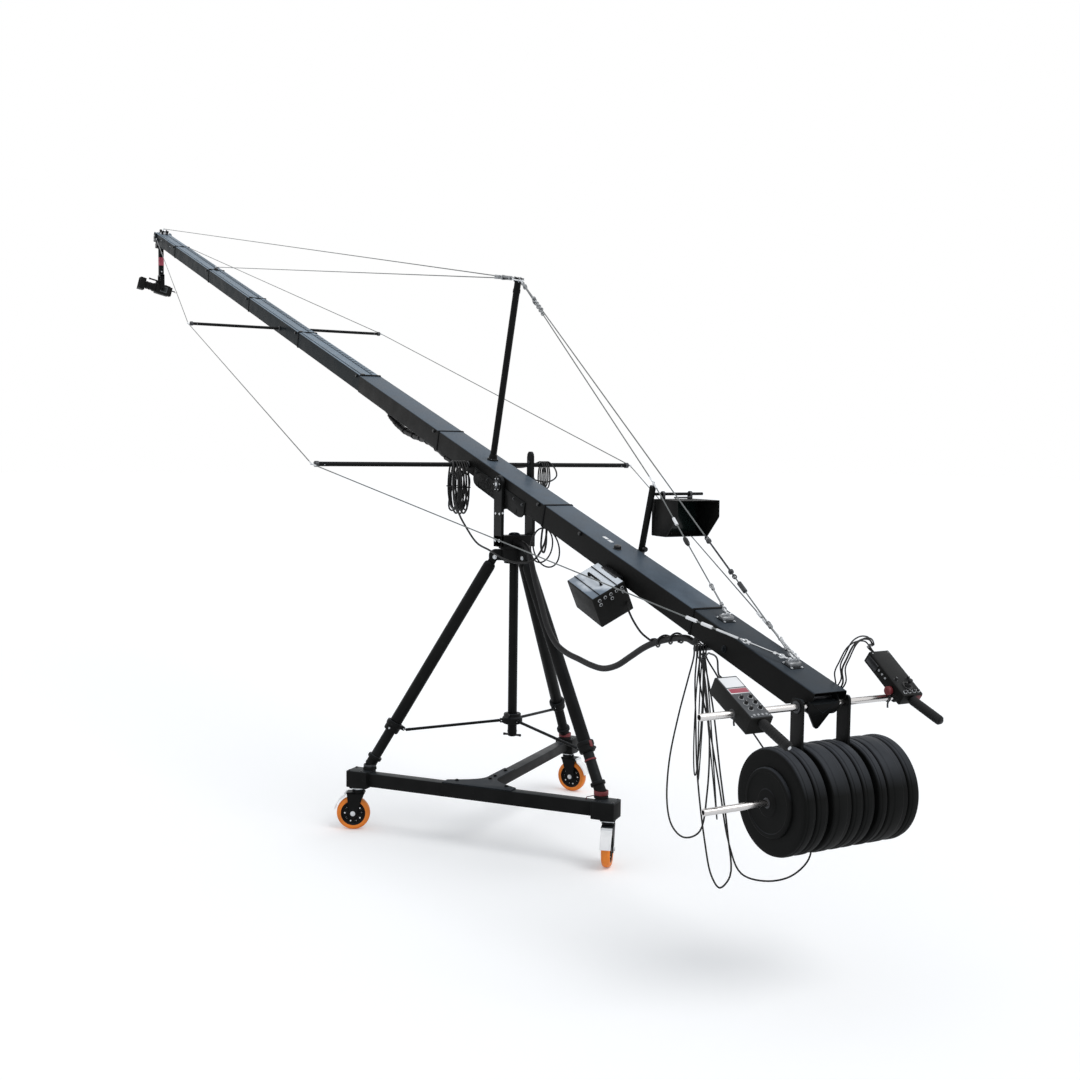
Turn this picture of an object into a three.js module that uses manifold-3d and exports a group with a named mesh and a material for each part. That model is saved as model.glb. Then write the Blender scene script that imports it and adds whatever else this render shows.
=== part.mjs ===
// Camera jib crane: a long box-section boom balanced on a three-wheeled tripod dolly.
// Millimetres, +Z up, +X from the pan axis towards the camera head, +Y to the operator's left.
import * as THREE from 'three';
import { mergeVertices } from 'three/addons/utils/BufferGeometryUtils.js';
import Module from 'manifold-3d';

const wasm = await Module();
wasm.setup();

// Clearances that every seat and running fit shares
const seatGap = 0.3;
const runningGap = 0.3;
const glandGap = 1;
const overrun = 5;
const weldDistance = 0.001;
const roundSides = 12;
const smallSides = 8;

// Stance of the dolly and height of the boom
const casterCircle = 920;
const legSpread = 120;
const tailAzimuth = -52.06;
const tiltHeight = 2075;
const boomPitch = 16.27;

// Casters: wheel, trail and the way each one points
const wheelRadius = 100;
const wheelWidth = 50;
const wheelSides = 20;
const axleRadius = 8;
const axleHeadRadius = 15;
const axleHeadLength = 9;
const casterTrail = 30;
const hubRadius = 72;
const hubRecess = 13;
const tyreEdge = 8;
const forkWall = 5;
const forkSideGap = 4;
const forkHalfLength = 38;
const forkFootRadius = 22;
const forkCrownLow = 216;
const forkCrownHigh = 228;
const swivelRadius = 38;
const topPlateThickness = 6;
const topPlateLength = 100;
const topPlateWidth = 84;
const pedalClearance = 10;
const pedalThickness = 4;
const pedalWidth = 62;
const pedalLowAngle = 12;
const pedalHighAngle = 62;
const pedalPinRadius = 7;
const casters = [
  { side: 'left', turn: 1, heading: 61 },
  { side: 'rear', turn: 2, heading: 141 },
  { side: 'right', turn: 0, heading: 211 },
];

// Dolly beams
const beamWidth = 70;
const beamHeight = 80;
const beamWall = 4;
const beamBottom = 272;
const tailBeamHeight = 60;
const endBoxHeight = 100;
const endBoxRise = 10;
const endBoxOuter = 52;
const endBoxInner = 86;
const endBoxWidth = 120;
const gussetThickness = 6;
const gussetHalfWidth = 220;
const gussetReach = 430;
const gussetNeck = 190;
const gussetBoltRadius = 10;
const gussetBoltHeight = 8;
const gussetBoltShares = [[0.5, 0.3], [-0.5, 0.3], [0, 0.36], [0, 0.52], [0, 0.86]];

// Tripod
const legTopRadius = 118;
const legTopHeight = 1640;
const legFootRadius = 853;
const footHeight = 24;
const footRadius = 34;
const footCollarRadius = 43;
const footCollarLength = 22;
const legTubeRadius = 36.5;
const legTubeWall = 4;
const innerTubeRadius = 31;
const innerTubeWall = 4;
const innerTubeShown = 240;
const innerTubeHidden = 180;
const legCollarRadius = 50;
const legCollarLength = 62;
const legTubeSetback = 46;
const legTongueThickness = 28;
const legTongueWidth = 44;
const lugThickness = 12;
const lugHeight = 66;
const lugReach = 150;
const pinRadius = 8;
const crownRadius = 84;
const crownBottom = 1600;
const crownTop = 1690;
const spindleRadius = 25;
const spindleLength = 70;
const columnRadius = 27.5;
const columnWall = 4;
const columnBottom = 552;
const columnFootHeight = 14;
const handleRadius = 8;
const handleLength = 116;
const hubSleeveRadius = 52;
const hubSleeveBottom = 628;
const hubSleeveTop = 692;
const hubLugReach = 76;
const hubLugWidth = 26;
const hubLugHeight = 24;
const hubKnobRadius = 17;
const hubKnobLength = 34;
const spreaderRadius = 9;
const spreaderEarWidth = 22;
const spreaderEarDepth = 40;
const spreaderEarHeight = 26;
const spreaderInnerHeight = 648;

// Yoke
const yokeGap = 192;
const yokePlateThickness = 18;
const yokePlateWidth = 100;
const yokeBaseRadius = 93;
const yokeBaseThickness = 18;
const yokeBlockHeight = 62;
const yokeDomeRadius = 36;
const yokeDomeHeight = 16;
const yokeHeadRadius = 52;
const trunnionRadius = 25;
const trunnionStub = 14;
const brakeUprightWidth = 58;
const brakeUprightTop = 2270;

// Boom
const boomHalfWidth = 88;
const frontHalfWidth = 79;
const boomDepth = 125;
const boomTop = 50.9;
const boomWall = 3.1;
const sectionLength = 1500;
const rearJoint = -2048;
const sectionCount = 7;
const tailLength = 882;
const tailCutLength = 157;
const tailLipDepth = 35;
const tipLength = 1043;
const tipCutLength = 62;
const tipCutRise = 48;
const collarLength = 16;
const collarRise = 4;
const boltRadius = 10;
const boltHeight = 12;
const boltSetback = 78;
const rearBoltPlaces = { left: -955, right: -1035 };
const tailBoltPlace = -2311;
const tailBoltHeight = -29;
const tailBoltRadius = 17;
const boltDrop = 18;
const ribRise = 5;
const ribWidth = 34;
const ribInset = 20;
const topKnobRadius = 20;
const topKnobHeight = 20;
const topKnobPlace = -1240;
const topKnobY = 30;
const anchorLength = 44;
const anchorWidth = 64;
const anchorHeight = 22;
const frontAnchorPlace = -2175;
const rearAnchorPlace = -2673;
const cradleRear = -320;
const cradleFront = 370;
const cradleDepth = 41;
const cradleWall = 5.5;
const cradleSideGap = 0.3;
const cradleSideTop = -10;
const cradleEndLength = 80;
const cradleRibThickness = 10;
const trunnionBossRadius = 44;

// Masts, outriggers and stay wires
const mastPlace = 324;
const mastRadius = 20;
const mastTop = 1150;
const mastFlangeRadius = 34;
const mastFlangeThickness = 8;
const mastCapRadius = 25;
const mastCapHeight = 24;
const smallMastPlace = -1262;
const smallMastRadius = 17;
const smallMastFoot = -20;
const smallMastTop = 400;
const smallMastKnobRadius = 14;
const smallMastKnobLength = 26;
const railRadius = 8;
const railReach = 320;
const railDrop = 44;
const outriggerDrop = 76;
const rearOutriggerPlace = 470;
const rearOutriggerHalf = 1092;
const rearOutriggerRadius = 14;
const frontOutriggerPlace = 4481;
const frontOutriggerHalf = 860;
const frontOutriggerRadius = 12.5;
const outriggerTipRadius = 18;
const outriggerTipLength = 26;
const wireRadius = 3;
const wireEndRadius = 8;
const wireEyeRadius = 7;
const eyePin = 7;
const eyePinRadius = 4;
const turnbuckleRadius = 8;
const turnbuckleLength = 150;
const tipLugPlace = 9400;
const tipLugLength = 24;
const tipLugWidth = 40;
const tipLugHeight = 54;
const midLugPlace = 6990;
const sideLugPlace = 9350;
const sideLugReach = 22;
const sideLugHeight = 26;

// Operator's end
const barPlace = -2891;
const barHeight = -26;
const barRadius = 15;
const barLeft = 622;
const barRight = -490;
const barCheekThickness = 10;
const barCheekLength = 92;
const barCheekHeight = 56;
const barVeeHalfWidth = 82;
const barVeeDepth = 112;
const barVeeThickness = 12;
const hangerSpacing = 250;
const hangerStrapWidth = 74;
const hangerStrapThickness = 12;
const hangerDrop = 385;
const hangerTopRise = 34;
const axleRodRadius = 15;
const axleRodLeft = 593;
const axleRodRight = -392;
const plateRadius = 225;
const plateEdge = 9;
const plateSides = 24;
const plateDiscRadius = 135;
const plateDiscRise = 6;
const plateSideGap = 2;
const leftPlates = [64, 62];
const middlePlates = [60, 63, 101];
const rightPlates = [61, 114, 49];
const hookPlace = -2149;
const hookRadius = 13;
const hookStart = 15;
const hookEnd = 125;
const hookClearance = 11;
const hookStemLength = 14;
const hookBend = 45;
const hookFall = 34;
const hookPitch = 1.5;
const controllers = [
  { side: 'left', centre: 405, slope: 27, rise: 60, thickness: 80, middle: 38, front: 168, rear: 110, gripSlope: 21 },
  { side: 'right', centre: -425, slope: 36, rise: 78, thickness: 58, middle: 49, front: 204, rear: 66, gripSlope: 20 },
];
const controllerWidth = 112;
const clampWidth = 44;
const clampWall = 9;
const gripRadius = 21;
const gripLength = 186;
const gripCapRadius = 12;
const gripCapLength = 8;
const joystickRadius = 5;
const joystickLength = 34;
const joystickKnobRadius = 11;
const joystickSocketRadius = 15;
const joystickPlaceShare = 0.62;

// Power box
const boxPlace = -1216;
const boxLength = 268;
const boxWidth = 197;
const boxHeight = 178;
const boxRoll = 29.3;
const boxOuterY = 289;
const boxOuterZ = -123;
const boxHandleRadius = 6;
const boxHandleLength = 120;
const boxHandleRise = 26;
const boxBracketLength = 150;
const boxBracketHeight = 46;

// Monitor
const monitorWidth = 262;
const monitorHeight = 190;
const monitorThickness = 42;
const monitorHood = 190;
const monitorHoodLower = 92;
const hoodWall = 4;
const monitorEarWidth = 14;
const monitorEarLength = 34;
const monitorEarSpread = 170;
const monitorEarDrop = 26;
const monitorSideStart = 24;
const monitorForward = 34;

// Camera head
const headPivotPlace = 9532;
const headPivotHeight = -12;
const drumRadius = 40;
const drumLength = 88;
const drumPinRadius = 12;
const tipEarThickness = 12;
const tipEarHeight = 68;
const headNeckWidth = 46;
const headMotorDrop = 64;
const headMotorHeight = 56;
const headMotorRear = 34;
const headMotorFront = 62;
const headMotorWidth = 110;
const postWidth = 54;
const postTop = -120;
const postBottom = -440;
const postCapRadius = 36;
const postCapHeight = 18;
const forkSpan = 140;
const forkThickness = 12;
const forkBarHeight = 22;
const forkDepth = 50;
const cameraAxis = -610;
const cameraStubRadius = 9;
const cameraRest = 14;
const cameraWidth = 112;
const cameraLength = 165;
const cameraHeight = 118;
const cameraRear = -92;
const lensRadius = 37;
const lensLength = 130;
const lensHoodRadius = 52;
const lensHoodLength = 66;
const cameraHandleLength = 118;
const cameraHandleRise = 30;
const cameraHandleStart = 50;
const cameraHandleWidth = 24;
const cameraRodRadius = 12;
const cameraRodLength = 96;

// Cables
const headCableDiameter = 12;
const coilDiameter = 10;
const harnessDiameter = 33;
const controlCableDiameter = 8;
const loopSides = 6;
const cableSides = 8;
const longestStep = 160;
const sharpestBend = 26;
const finePoints = 24;
const gapSpacing = 6;

// Colours and finishes
const paint = (color, roughness, metalness) => new THREE.MeshStandardMaterial({ color, roughness, metalness });
const boomPaint = paint(0x2b3036, 0.38, 0.3);
const framePaint = paint(0x17191b, 0.45, 0.3);
const orangeTyre = paint(0xe07a12, 0.4, 0);
const plateRubber = paint(0x1c1d1f, 0.7, 0);
const bright = paint(0xc9ccd0, 0.25, 0.9);
const wireSteel = paint(0x9fa4a8, 0.35, 0.8);
const caseBlack = paint(0x121315, 0.5, 0.1);
const cableBlack = paint(0x0e0f10, 0.6, 0);

// Shape helpers
const rad = THREE.MathUtils.degToRad;
const V = (x, y, z) => new THREE.Vector3(x, y, z);

function closedMesh(geometry) {
  const bare = geometry.clone();
  for (const name of Object.keys(bare.attributes)) {
    if (name !== 'position') bare.deleteAttribute(name);
  }
  const merged = mergeVertices(bare, weldDistance);
  const index = merged.index.array;
  const kept = [];
  for (let i = 0; i < index.length; i += 3) {
    const [a, b, c] = [index[i], index[i + 1], index[i + 2]];
    if (a !== b && b !== c && c !== a) kept.push(a, b, c);
  }
  merged.setIndex(kept);
  return merged;
}

function volumeOf(geometry) {
  const place = geometry.attributes.position;
  const index = geometry.index.array;
  const [a, b, c] = [V(0, 0, 0), V(0, 0, 0), V(0, 0, 0)];
  let total = 0;
  for (let i = 0; i < index.length; i += 3) {
    a.fromBufferAttribute(place, index[i]);
    b.fromBufferAttribute(place, index[i + 1]);
    c.fromBufferAttribute(place, index[i + 2]);
    total += a.dot(b.cross(c)) / 6;
  }
  return total;
}

function outward(geometry) {
  const closed = closedMesh(geometry);
  if (volumeOf(closed) > 0) return closed;
  const index = Array.from(closed.index.array);
  for (let i = 0; i < index.length; i += 3) {
    [index[i], index[i + 1]] = [index[i + 1], index[i]];
  }
  closed.setIndex(index);
  return closed;
}

function solid(geometry) {
  const closed = outward(geometry);
  const vertProperties = new Float32Array(closed.attributes.position.array);
  const triVerts = new Uint32Array(closed.index.array);
  return new wasm.Manifold(new wasm.Mesh({ numProp: 3, vertProperties, triVerts }));
}

function surface(manifold) {
  const mesh = manifold.getMesh();
  const geometry = new THREE.BufferGeometry();
  geometry.setAttribute('position', new THREE.BufferAttribute(new Float32Array(mesh.vertProperties), 3));
  geometry.setIndex(new THREE.BufferAttribute(new Uint32Array(mesh.triVerts), 1));
  return geometry;
}

function join(pieces) {
  return surface(pieces.map(solid).reduce((whole, next) => whole.add(next)));
}

function carve(body, cutters) {
  return surface(cutters.map(solid).reduce((whole, next) => whole.subtract(next), solid(body)));
}

function keepInside(body, limit) {
  return surface(solid(body).intersect(solid(limit)));
}

function block(x0, x1, y0, y1, z0, z1) {
  const box = new THREE.BoxGeometry(x1 - x0, y1 - y0, z1 - z0);
  return box.translate((x0 + x1) / 2, (y0 + y1) / 2, (z0 + z1) / 2);
}

// A cylinder between two points, with a flat of its section turned to the bottom
function rod(from, to, radius, sides = roundSides) {
  const along = to.clone().sub(from);
  const geometry = new THREE.CylinderGeometry(radius, radius, along.length(), sides);
  geometry.rotateY(Math.PI / sides);
  const turn = new THREE.Quaternion().setFromUnitVectors(V(0, 1, 0), along.normalize());
  return geometry.applyQuaternion(turn).translate(...from.clone().add(to).multiplyScalar(0.5).toArray());
}

// The radius of a bore whose flats still clear a round rod inside it
function boreFor(radius, sides = roundSides) {
  return (radius + runningGap) / Math.cos(Math.PI / sides);
}

function ball(centre, radius, detail = 1) {
  return new THREE.IcosahedronGeometry(radius, detail).translate(centre.x, centre.y, centre.z);
}

// A turned piece around Z, from [radius, height] pairs
function turned(profile, sides = roundSides) {
  const points = profile.map(([radius, height]) => new THREE.Vector2(radius, height));
  return new THREE.LatheGeometry(points, sides).rotateX(Math.PI / 2);
}

function towardsY(geometry) {
  return geometry.rotateX(-Math.PI / 2);
}

// An outline in X and Z, made solid from one Y to another
function sidePlate(outline, y0, y1, curveSegments = smallSides) {
  const shape = outline instanceof THREE.Shape ? outline : new THREE.Shape(outline.map(([x, z]) => new THREE.Vector2(x, z)));
  const geometry = new THREE.ExtrudeGeometry(shape, { depth: y1 - y0, bevelEnabled: false, curveSegments });
  return geometry.rotateX(Math.PI / 2).translate(0, y1, 0);
}

// An outline in Y and Z, made solid from one X to another
function crossPlate(outline, x0, x1) {
  const shape = new THREE.Shape(outline.map(([y, z]) => new THREE.Vector2(y, z)));
  const geometry = new THREE.ExtrudeGeometry(shape, { depth: x1 - x0, bevelEnabled: false });
  const basis = new THREE.Matrix4().makeBasis(V(0, 1, 0), V(0, 0, 1), V(1, 0, 0));
  return geometry.applyMatrix4(basis).translate(x0, 0, 0);
}

function roundSection(radius, sides) {
  const corners = [];
  for (let i = 0; i < sides; i++) {
    const angle = (2 * Math.PI * (i + 0.5)) / sides;
    corners.push(new THREE.Vector2(radius * Math.cos(angle), radius * Math.sin(angle)));
  }
  return new THREE.Shape(corners);
}

// A path through fixed stations, which the cable's sections are set on
class SteppedCurve extends THREE.Curve {
  constructor(stations) {
    super();
    this.stations = stations;
  }

  getPoint(share) {
    const place = share * (this.stations.length - 1);
    const first = Math.max(0, Math.min(Math.floor(place), this.stations.length - 2));
    return this.stations[first].clone().lerp(this.stations[first + 1], place - first);
  }

  getPointAt(share) {
    return this.getPoint(share);
  }

  getTangentAt(share) {
    return this.getTangent(share);
  }
}

// Stations along a smooth curve, closer together where it bends more
function stationsAlong(points, longestStep, sharpestBend) {
  const curve = new THREE.CatmullRomCurve3(points, false, 'centripetal');
  const fine = curve.getPoints(points.length * finePoints);
  const weights = [0];
  for (let i = 1; i < fine.length; i++) {
    const ahead = fine[Math.min(i + 1, fine.length - 1)].clone().sub(fine[i]);
    const behind = fine[i].clone().sub(fine[i - 1]);
    const bend = i + 1 < fine.length ? ahead.angleTo(behind) : 0;
    weights.push(weights[i - 1] + behind.length() / longestStep + bend / sharpestBend);
  }
  const steps = Math.ceil(weights[weights.length - 1]);
  const stations = [];
  let at = 0;
  for (let k = 0; k <= steps; k++) {
    const wanted = (weights[weights.length - 1] * k) / steps;
    while (at < weights.length - 2 && weights[at + 1] < wanted) at++;
    const span = weights[at + 1] - weights[at];
    stations.push(fine[at].clone().lerp(fine[at + 1], (wanted - weights[at]) / span));
  }
  return stations;
}

// A cable through its points; it prints its length and its least gap to itself
function cable(name, points, diameter, sides) {
  const stations = stationsAlong(points, longestStep, rad(sharpestBend));
  const dense = [];
  let length = 0;
  for (let i = 0; i + 1 < stations.length; i++) {
    const span = stations[i].distanceTo(stations[i + 1]);
    const parts = Math.ceil(span / gapSpacing);
    for (let k = 0; k < parts; k++) {
      dense.push({ place: stations[i].clone().lerp(stations[i + 1], k / parts), at: length + (span * k) / parts });
    }
    length += span;
  }
  let least = Infinity;
  for (let i = 0; i < dense.length; i++) {
    for (let j = i + 1; j < dense.length; j++) {
      if (dense[j].at - dense[i].at < Math.PI * diameter) continue;
      least = Math.min(least, dense[i].place.distanceTo(dense[j].place));
    }
  }
  console.log(`${name}: length ${length.toFixed(0)} mm, least gap to itself ${(least - diameter).toFixed(1)} mm`);
  const section = roundSection(diameter / 2, sides);
  const path = new SteppedCurve(stations);
  return new THREE.ExtrudeGeometry(section, { steps: stations.length - 1, bevelEnabled: false, extrudePath: path });
}

const crane = new THREE.Group();

function piece(name, material, geometry, parent) {
  const mesh = new THREE.Mesh(outward(geometry), material);
  mesh.name = name;
  parent.add(mesh);
  return mesh;
}

function groupAt(x, y, z, parent = crane) {
  const group = new THREE.Group();
  group.position.set(x, y, z);
  parent.add(group);
  return group;
}

// Dolly beams
const dolly = groupAt(0, 0, 0);
dolly.rotation.z = rad(tailAzimuth);
const beamTop = beamBottom + beamHeight;
const boxTop = beamTop + endBoxRise;
const boxBottom = boxTop - endBoxHeight;
const crossX = -casterCircle * Math.cos(rad(legSpread / 2));
const crossHalf = casterCircle * Math.sin(rad(legSpread / 2));

function crossBeam() {
  const half = beamWidth / 2;
  const parts = [block(crossX - half, crossX + half, -crossHalf, crossHalf, beamBottom, beamTop)];
  for (const way of [-1, 1]) {
    const [inner, outer] = [way * (crossHalf - endBoxInner), way * (crossHalf + endBoxOuter)];
    const [low, high] = [Math.min(inner, outer), Math.max(inner, outer)];
    parts.push(block(crossX - endBoxWidth / 2, crossX + endBoxWidth / 2, low, high, boxBottom, boxTop));
  }
  const reach = crossHalf + endBoxOuter + overrun;
  const hollow = half - beamWall;
  const bore = block(crossX - hollow, crossX + hollow, -reach, reach, beamBottom + beamWall, beamTop - beamWall);
  return carve(join(parts), [bore]);
}

function tailBeam() {
  const half = beamWidth / 2;
  const start = crossX + half + seatGap;
  const end = casterCircle + endBoxOuter;
  const bottom = beamTop - tailBeamHeight;
  const beam = block(start, casterCircle, -half, half, bottom, beamTop);
  const box = block(casterCircle - endBoxInner, end, -endBoxWidth / 2, endBoxWidth / 2, boxBottom, boxTop);
  const hollow = half - beamWall;
  const [low, high] = [bottom + beamWall, beamTop - beamWall];
  return carve(join([beam, box]), [block(start - overrun, end + overrun, -hollow, hollow, low, high)]);
}

function gussetPlate() {
  const rearEdge = -beamWidth / 2;
  const half = beamWidth / 2;
  const shape = new THREE.Shape();
  shape.moveTo(rearEdge, -gussetHalfWidth);
  shape.lineTo(half, -gussetHalfWidth);
  shape.quadraticCurveTo(gussetNeck / 2, -half, gussetNeck, -half);
  shape.lineTo(gussetReach, -half);
  shape.lineTo(gussetReach, half);
  shape.lineTo(gussetNeck, half);
  shape.quadraticCurveTo(gussetNeck / 2, half, half, gussetHalfWidth);
  shape.lineTo(rearEdge, gussetHalfWidth);
  const bottom = beamTop + seatGap;
  const plate = new THREE.ExtrudeGeometry(shape, { depth: gussetThickness, bevelEnabled: false, curveSegments: smallSides });
  const parts = [plate.translate(crossX, 0, bottom)];
  for (const [across, along] of gussetBoltShares) {
    const foot = V(crossX + along * gussetReach * (across ? 0.3 : 1), across * 2 * gussetHalfWidth * 0.72, bottom);
    const head = foot.clone().setZ(bottom + gussetThickness + gussetBoltHeight);
    parts.push(rod(foot, head, gussetBoltRadius, loopSides));
  }
  return join(parts);
}

piece('cross_beam', framePaint, crossBeam(), dolly);
piece('tail_beam', framePaint, tailBeam(), dolly);
piece('gusset_plate', framePaint, gussetPlate(), dolly);

// Tripod crown with a clevis for each leg, and the centre column below it
const pinHeight = legTopHeight;
const clevisHalf = legTongueThickness / 2 + runningGap;

function crown() {
  const low = crownBottom;
  const parts = [turned([[0, low], [crownRadius, low], [crownRadius, crownTop], [0, crownTop]])];
  for (let i = 0; i < 3; i++) {
    const turn = rad(i * legSpread);
    for (const way of [-1, 1]) {
      const [inner, outer] = [way * clevisHalf, way * (clevisHalf + lugThickness)];
      const [yLow, yHigh] = [Math.min(inner, outer), Math.max(inner, outer)];
      const cheek = block(0, lugReach, yLow, yHigh, crownTop - lugHeight - overrun, crownTop - overrun);
      parts.push(cheek.rotateZ(turn));
    }
    const reach = clevisHalf + lugThickness;
    parts.push(rod(V(legTopRadius, -reach, pinHeight), V(legTopRadius, reach, pinHeight), pinRadius, smallSides).rotateZ(turn));
  }
  const pocket = crownTop - spindleLength - seatGap;
  const bore = rod(V(0, 0, pocket), V(0, 0, crownTop + overrun), boreFor(spindleRadius));
  const slots = [];
  for (let i = 0; i < 3; i++) {
    const slot = block(crownRadius - lugThickness, legTopRadius - pinRadius, -clevisHalf, clevisHalf, low - overrun, crownTop);
    slots.push(slot.rotateZ(rad(i * legSpread)));
  }
  return carve(join(parts), [bore, ...slots]);
}
piece('tripod_crown', framePaint, crown(), dolly);

function column() {
  const [r, inner] = [columnRadius, columnRadius - columnWall];
  const [low, high] = [columnBottom, crownBottom - seatGap];
  const floor = low + columnFootHeight;
  const tube = turned([[0, low], [r, low], [r, high], [inner, high], [inner, floor], [0, floor]]);
  const half = handleLength / 2;
  const handle = rod(V(0, -half, low + handleRadius), V(0, half, low + handleRadius), handleRadius, smallSides);
  return join([tube, handle]);
}
piece('center_column', framePaint, column(), dolly);

function spreaderHub() {
  const [low, high] = [hubSleeveBottom, hubSleeveTop];
  const bore = columnRadius + runningGap;
  const parts = [turned([[bore, low], [hubSleeveRadius, low], [hubSleeveRadius, high], [bore, high], [bore, low]])];
  const middle = spreaderInnerHeight;
  for (let i = 0; i < 3; i++) {
    const lug = block(hubSleeveRadius - overrun, hubLugReach, -hubLugWidth / 2, hubLugWidth / 2,
      middle - hubLugHeight / 2, middle + hubLugHeight / 2);
    parts.push(lug.rotateZ(rad(i * legSpread)));
  }
  const knobAngle = rad(legSpread * 1.5);
  const stem = rod(V(bore + overrun, 0, high - hubKnobRadius / 2), V(hubSleeveRadius + hubKnobLength, 0, high), hubKnobRadius, smallSides);
  parts.push(stem.rotateZ(knobAngle));
  return join(parts);
}
piece('spreader_hub', framePaint, spreaderHub(), dolly);

// Legs: each telescopes from a clamp collar down to a rubber foot on the end box
const footTop = boxTop + seatGap + footHeight;
const legDrop = legTopHeight - footTop;
const legRun = legFootRadius - legTopRadius;
const legLength = Math.hypot(legDrop, legRun);
const legLean = Math.atan2(legRun, legDrop);
const tubeEnd = legLength - innerTubeShown;

// Turns a piece made along +Z (down the leg from its pin) onto its leg
function ontoLeg(geometry, index) {
  geometry.rotateY(Math.PI - legLean);
  geometry.translate(legTopRadius, 0, legTopHeight);
  return geometry.rotateZ(rad(index * legSpread));
}

function legOuter(index) {
  const r = legTubeRadius;
  const inner = r - legTubeWall;
  const slide = innerTubeRadius + runningGap;
  const top = legTubeSetback;
  const collar = tubeEnd - legCollarLength;
  const tube = turned([[0, top], [r, top], [r, collar], [legCollarRadius, collar], [legCollarRadius, tubeEnd],
    [slide, tubeEnd], [slide, collar], [inner, collar], [inner, top + legTubeWall], [0, top + legTubeWall]]);
  const half = legTongueWidth / 2;
  const tongue = block(-half, half, -legTongueThickness / 2, legTongueThickness / 2, -half, top + legTubeWall);
  const eye = rod(V(0, -legTongueThickness, 0), V(0, legTongueThickness, 0), boreFor(pinRadius, smallSides), smallSides);
  const bracket = block(legCollarRadius - overrun, legCollarRadius + spreaderEarDepth / 2, -spreaderEarWidth / 2,
    spreaderEarWidth / 2, collar, collar + spreaderEarHeight);
  return ontoLeg(carve(join([tube, tongue, bracket]), [eye]), index);
}

function legInner(index) {
  const r = innerTubeRadius;
  const inner = r - innerTubeWall;
  const top = tubeEnd - innerTubeHidden;
  const collarEnd = legLength - footHeight - footCollarLength;
  const collarStart = collarEnd - footCollarLength;
  const bottom = legLength + footHeight + footRadius;
  const tube = turned([[inner, top], [r, top], [r, collarStart], [footCollarRadius, collarStart],
    [footCollarRadius, collarEnd], [footRadius, collarEnd], [footRadius, bottom], [0, bottom],
    [0, collarStart], [inner, collarStart], [inner, top]]);
  const placed = ontoLeg(tube, index);
  const reach = casterCircle * 2;
  const above = block(-reach, reach, -reach, reach, boxTop + seatGap, legTopHeight);
  return keepInside(placed, above);
}

// Where a leg's bracket meets its spreader bar, in the leg's own plane
function bracketPoint() {
  const along = tubeEnd - legCollarLength + spreaderEarHeight / 2;
  const out = legCollarRadius + spreaderEarDepth / 2 + 2 * seatGap + spreaderRadius * Math.sin(legLean);
  const radius = legTopRadius + along * Math.sin(legLean) - out * Math.cos(legLean);
  return V(radius, 0, legTopHeight - along * Math.cos(legLean) - out * Math.sin(legLean));
}

function spreaderBar(index) {
  const from = V(hubLugReach + seatGap, 0, spreaderInnerHeight);
  const bar = rod(from, bracketPoint(), spreaderRadius, smallSides);
  const clear = block(hubLugReach + seatGap, legFootRadius, -hubLugWidth, hubLugWidth, footTop, crownBottom);
  return keepInside(bar, clear).rotateZ(rad(index * legSpread));
}

for (const { side, turn } of casters) {
  piece(`leg_outer_${side}`, framePaint, legOuter(turn), dolly);
  piece(`leg_inner_${side}`, framePaint, legInner(turn), dolly);
  piece(`spreader_bar_${side}`, framePaint, spreaderBar(turn), dolly);
}

// Casters: each frame has +X along the trail, with its pivot on Z
const forkInner = wheelWidth / 2 + forkSideGap;

function casterFork() {
  const plateLow = boxBottom - seatGap - topPlateThickness;
  const parts = [
    block(-topPlateLength / 2, topPlateLength / 2, -topPlateWidth / 2, topPlateWidth / 2, plateLow, plateLow + topPlateThickness),
    turned([[0, forkCrownLow], [swivelRadius, forkCrownLow], [swivelRadius, plateLow + topPlateThickness / 2],
      [0, plateLow + topPlateThickness / 2]]),
  ];
  const outer = forkInner + forkWall;
  const end = casterTrail + forkHalfLength;
  parts.push(block(-forkHalfLength, end, -outer, outer, forkCrownLow, forkCrownHigh));
  const leg = new THREE.Shape();
  leg.moveTo(-forkHalfLength, forkCrownHigh);
  leg.lineTo(casterTrail - forkFootRadius, wheelRadius);
  leg.absarc(casterTrail, wheelRadius, forkFootRadius, Math.PI, 2 * Math.PI, false);
  leg.lineTo(end, forkCrownHigh);
  for (const low of [-outer, forkInner]) parts.push(sidePlate(leg, low, low + forkWall, 4));
  const reach = outer + axleHeadLength;
  const axle = (y0, y1, r) => rod(V(casterTrail, y0, wheelRadius), V(casterTrail, y1, wheelRadius), r, smallSides);
  parts.push(axle(-reach, reach, axleRadius), axle(outer, reach, axleHeadRadius), axle(-reach, -outer, axleHeadRadius));
  return join(parts);
}

function casterWheel() {
  const flat = Math.cos(Math.PI / wheelSides);
  const r = wheelRadius / flat;
  const half = wheelWidth / 2;
  const bore = boreFor(axleRadius, smallSides);
  const web = half - hubRecess;
  const lip = hubRadius + tyreEdge / 2;
  const side = [[bore, half], [axleHeadRadius * 2, half], [axleHeadRadius * 2 + tyreEdge / 2, web], [hubRadius, web],
    [lip, half - tyreEdge / 2], [r - tyreEdge, half], [r, half - tyreEdge]];
  const profile = [...side, ...side.slice().reverse().map(([radius, height]) => [radius, -height]), side[0]];
  const wheel = towardsY(turned(profile, wheelSides));
  wheel.rotateY(Math.PI / wheelSides);
  return wheel.translate(casterTrail, 0, wheelRadius);
}

// The pedal hinges on a pin across the end of the fork's crown
const pedalPinX = casterTrail + forkHalfLength + seatGap + pedalPinRadius;
const pedalPinZ = (forkCrownLow + forkCrownHigh) / 2;

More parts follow.
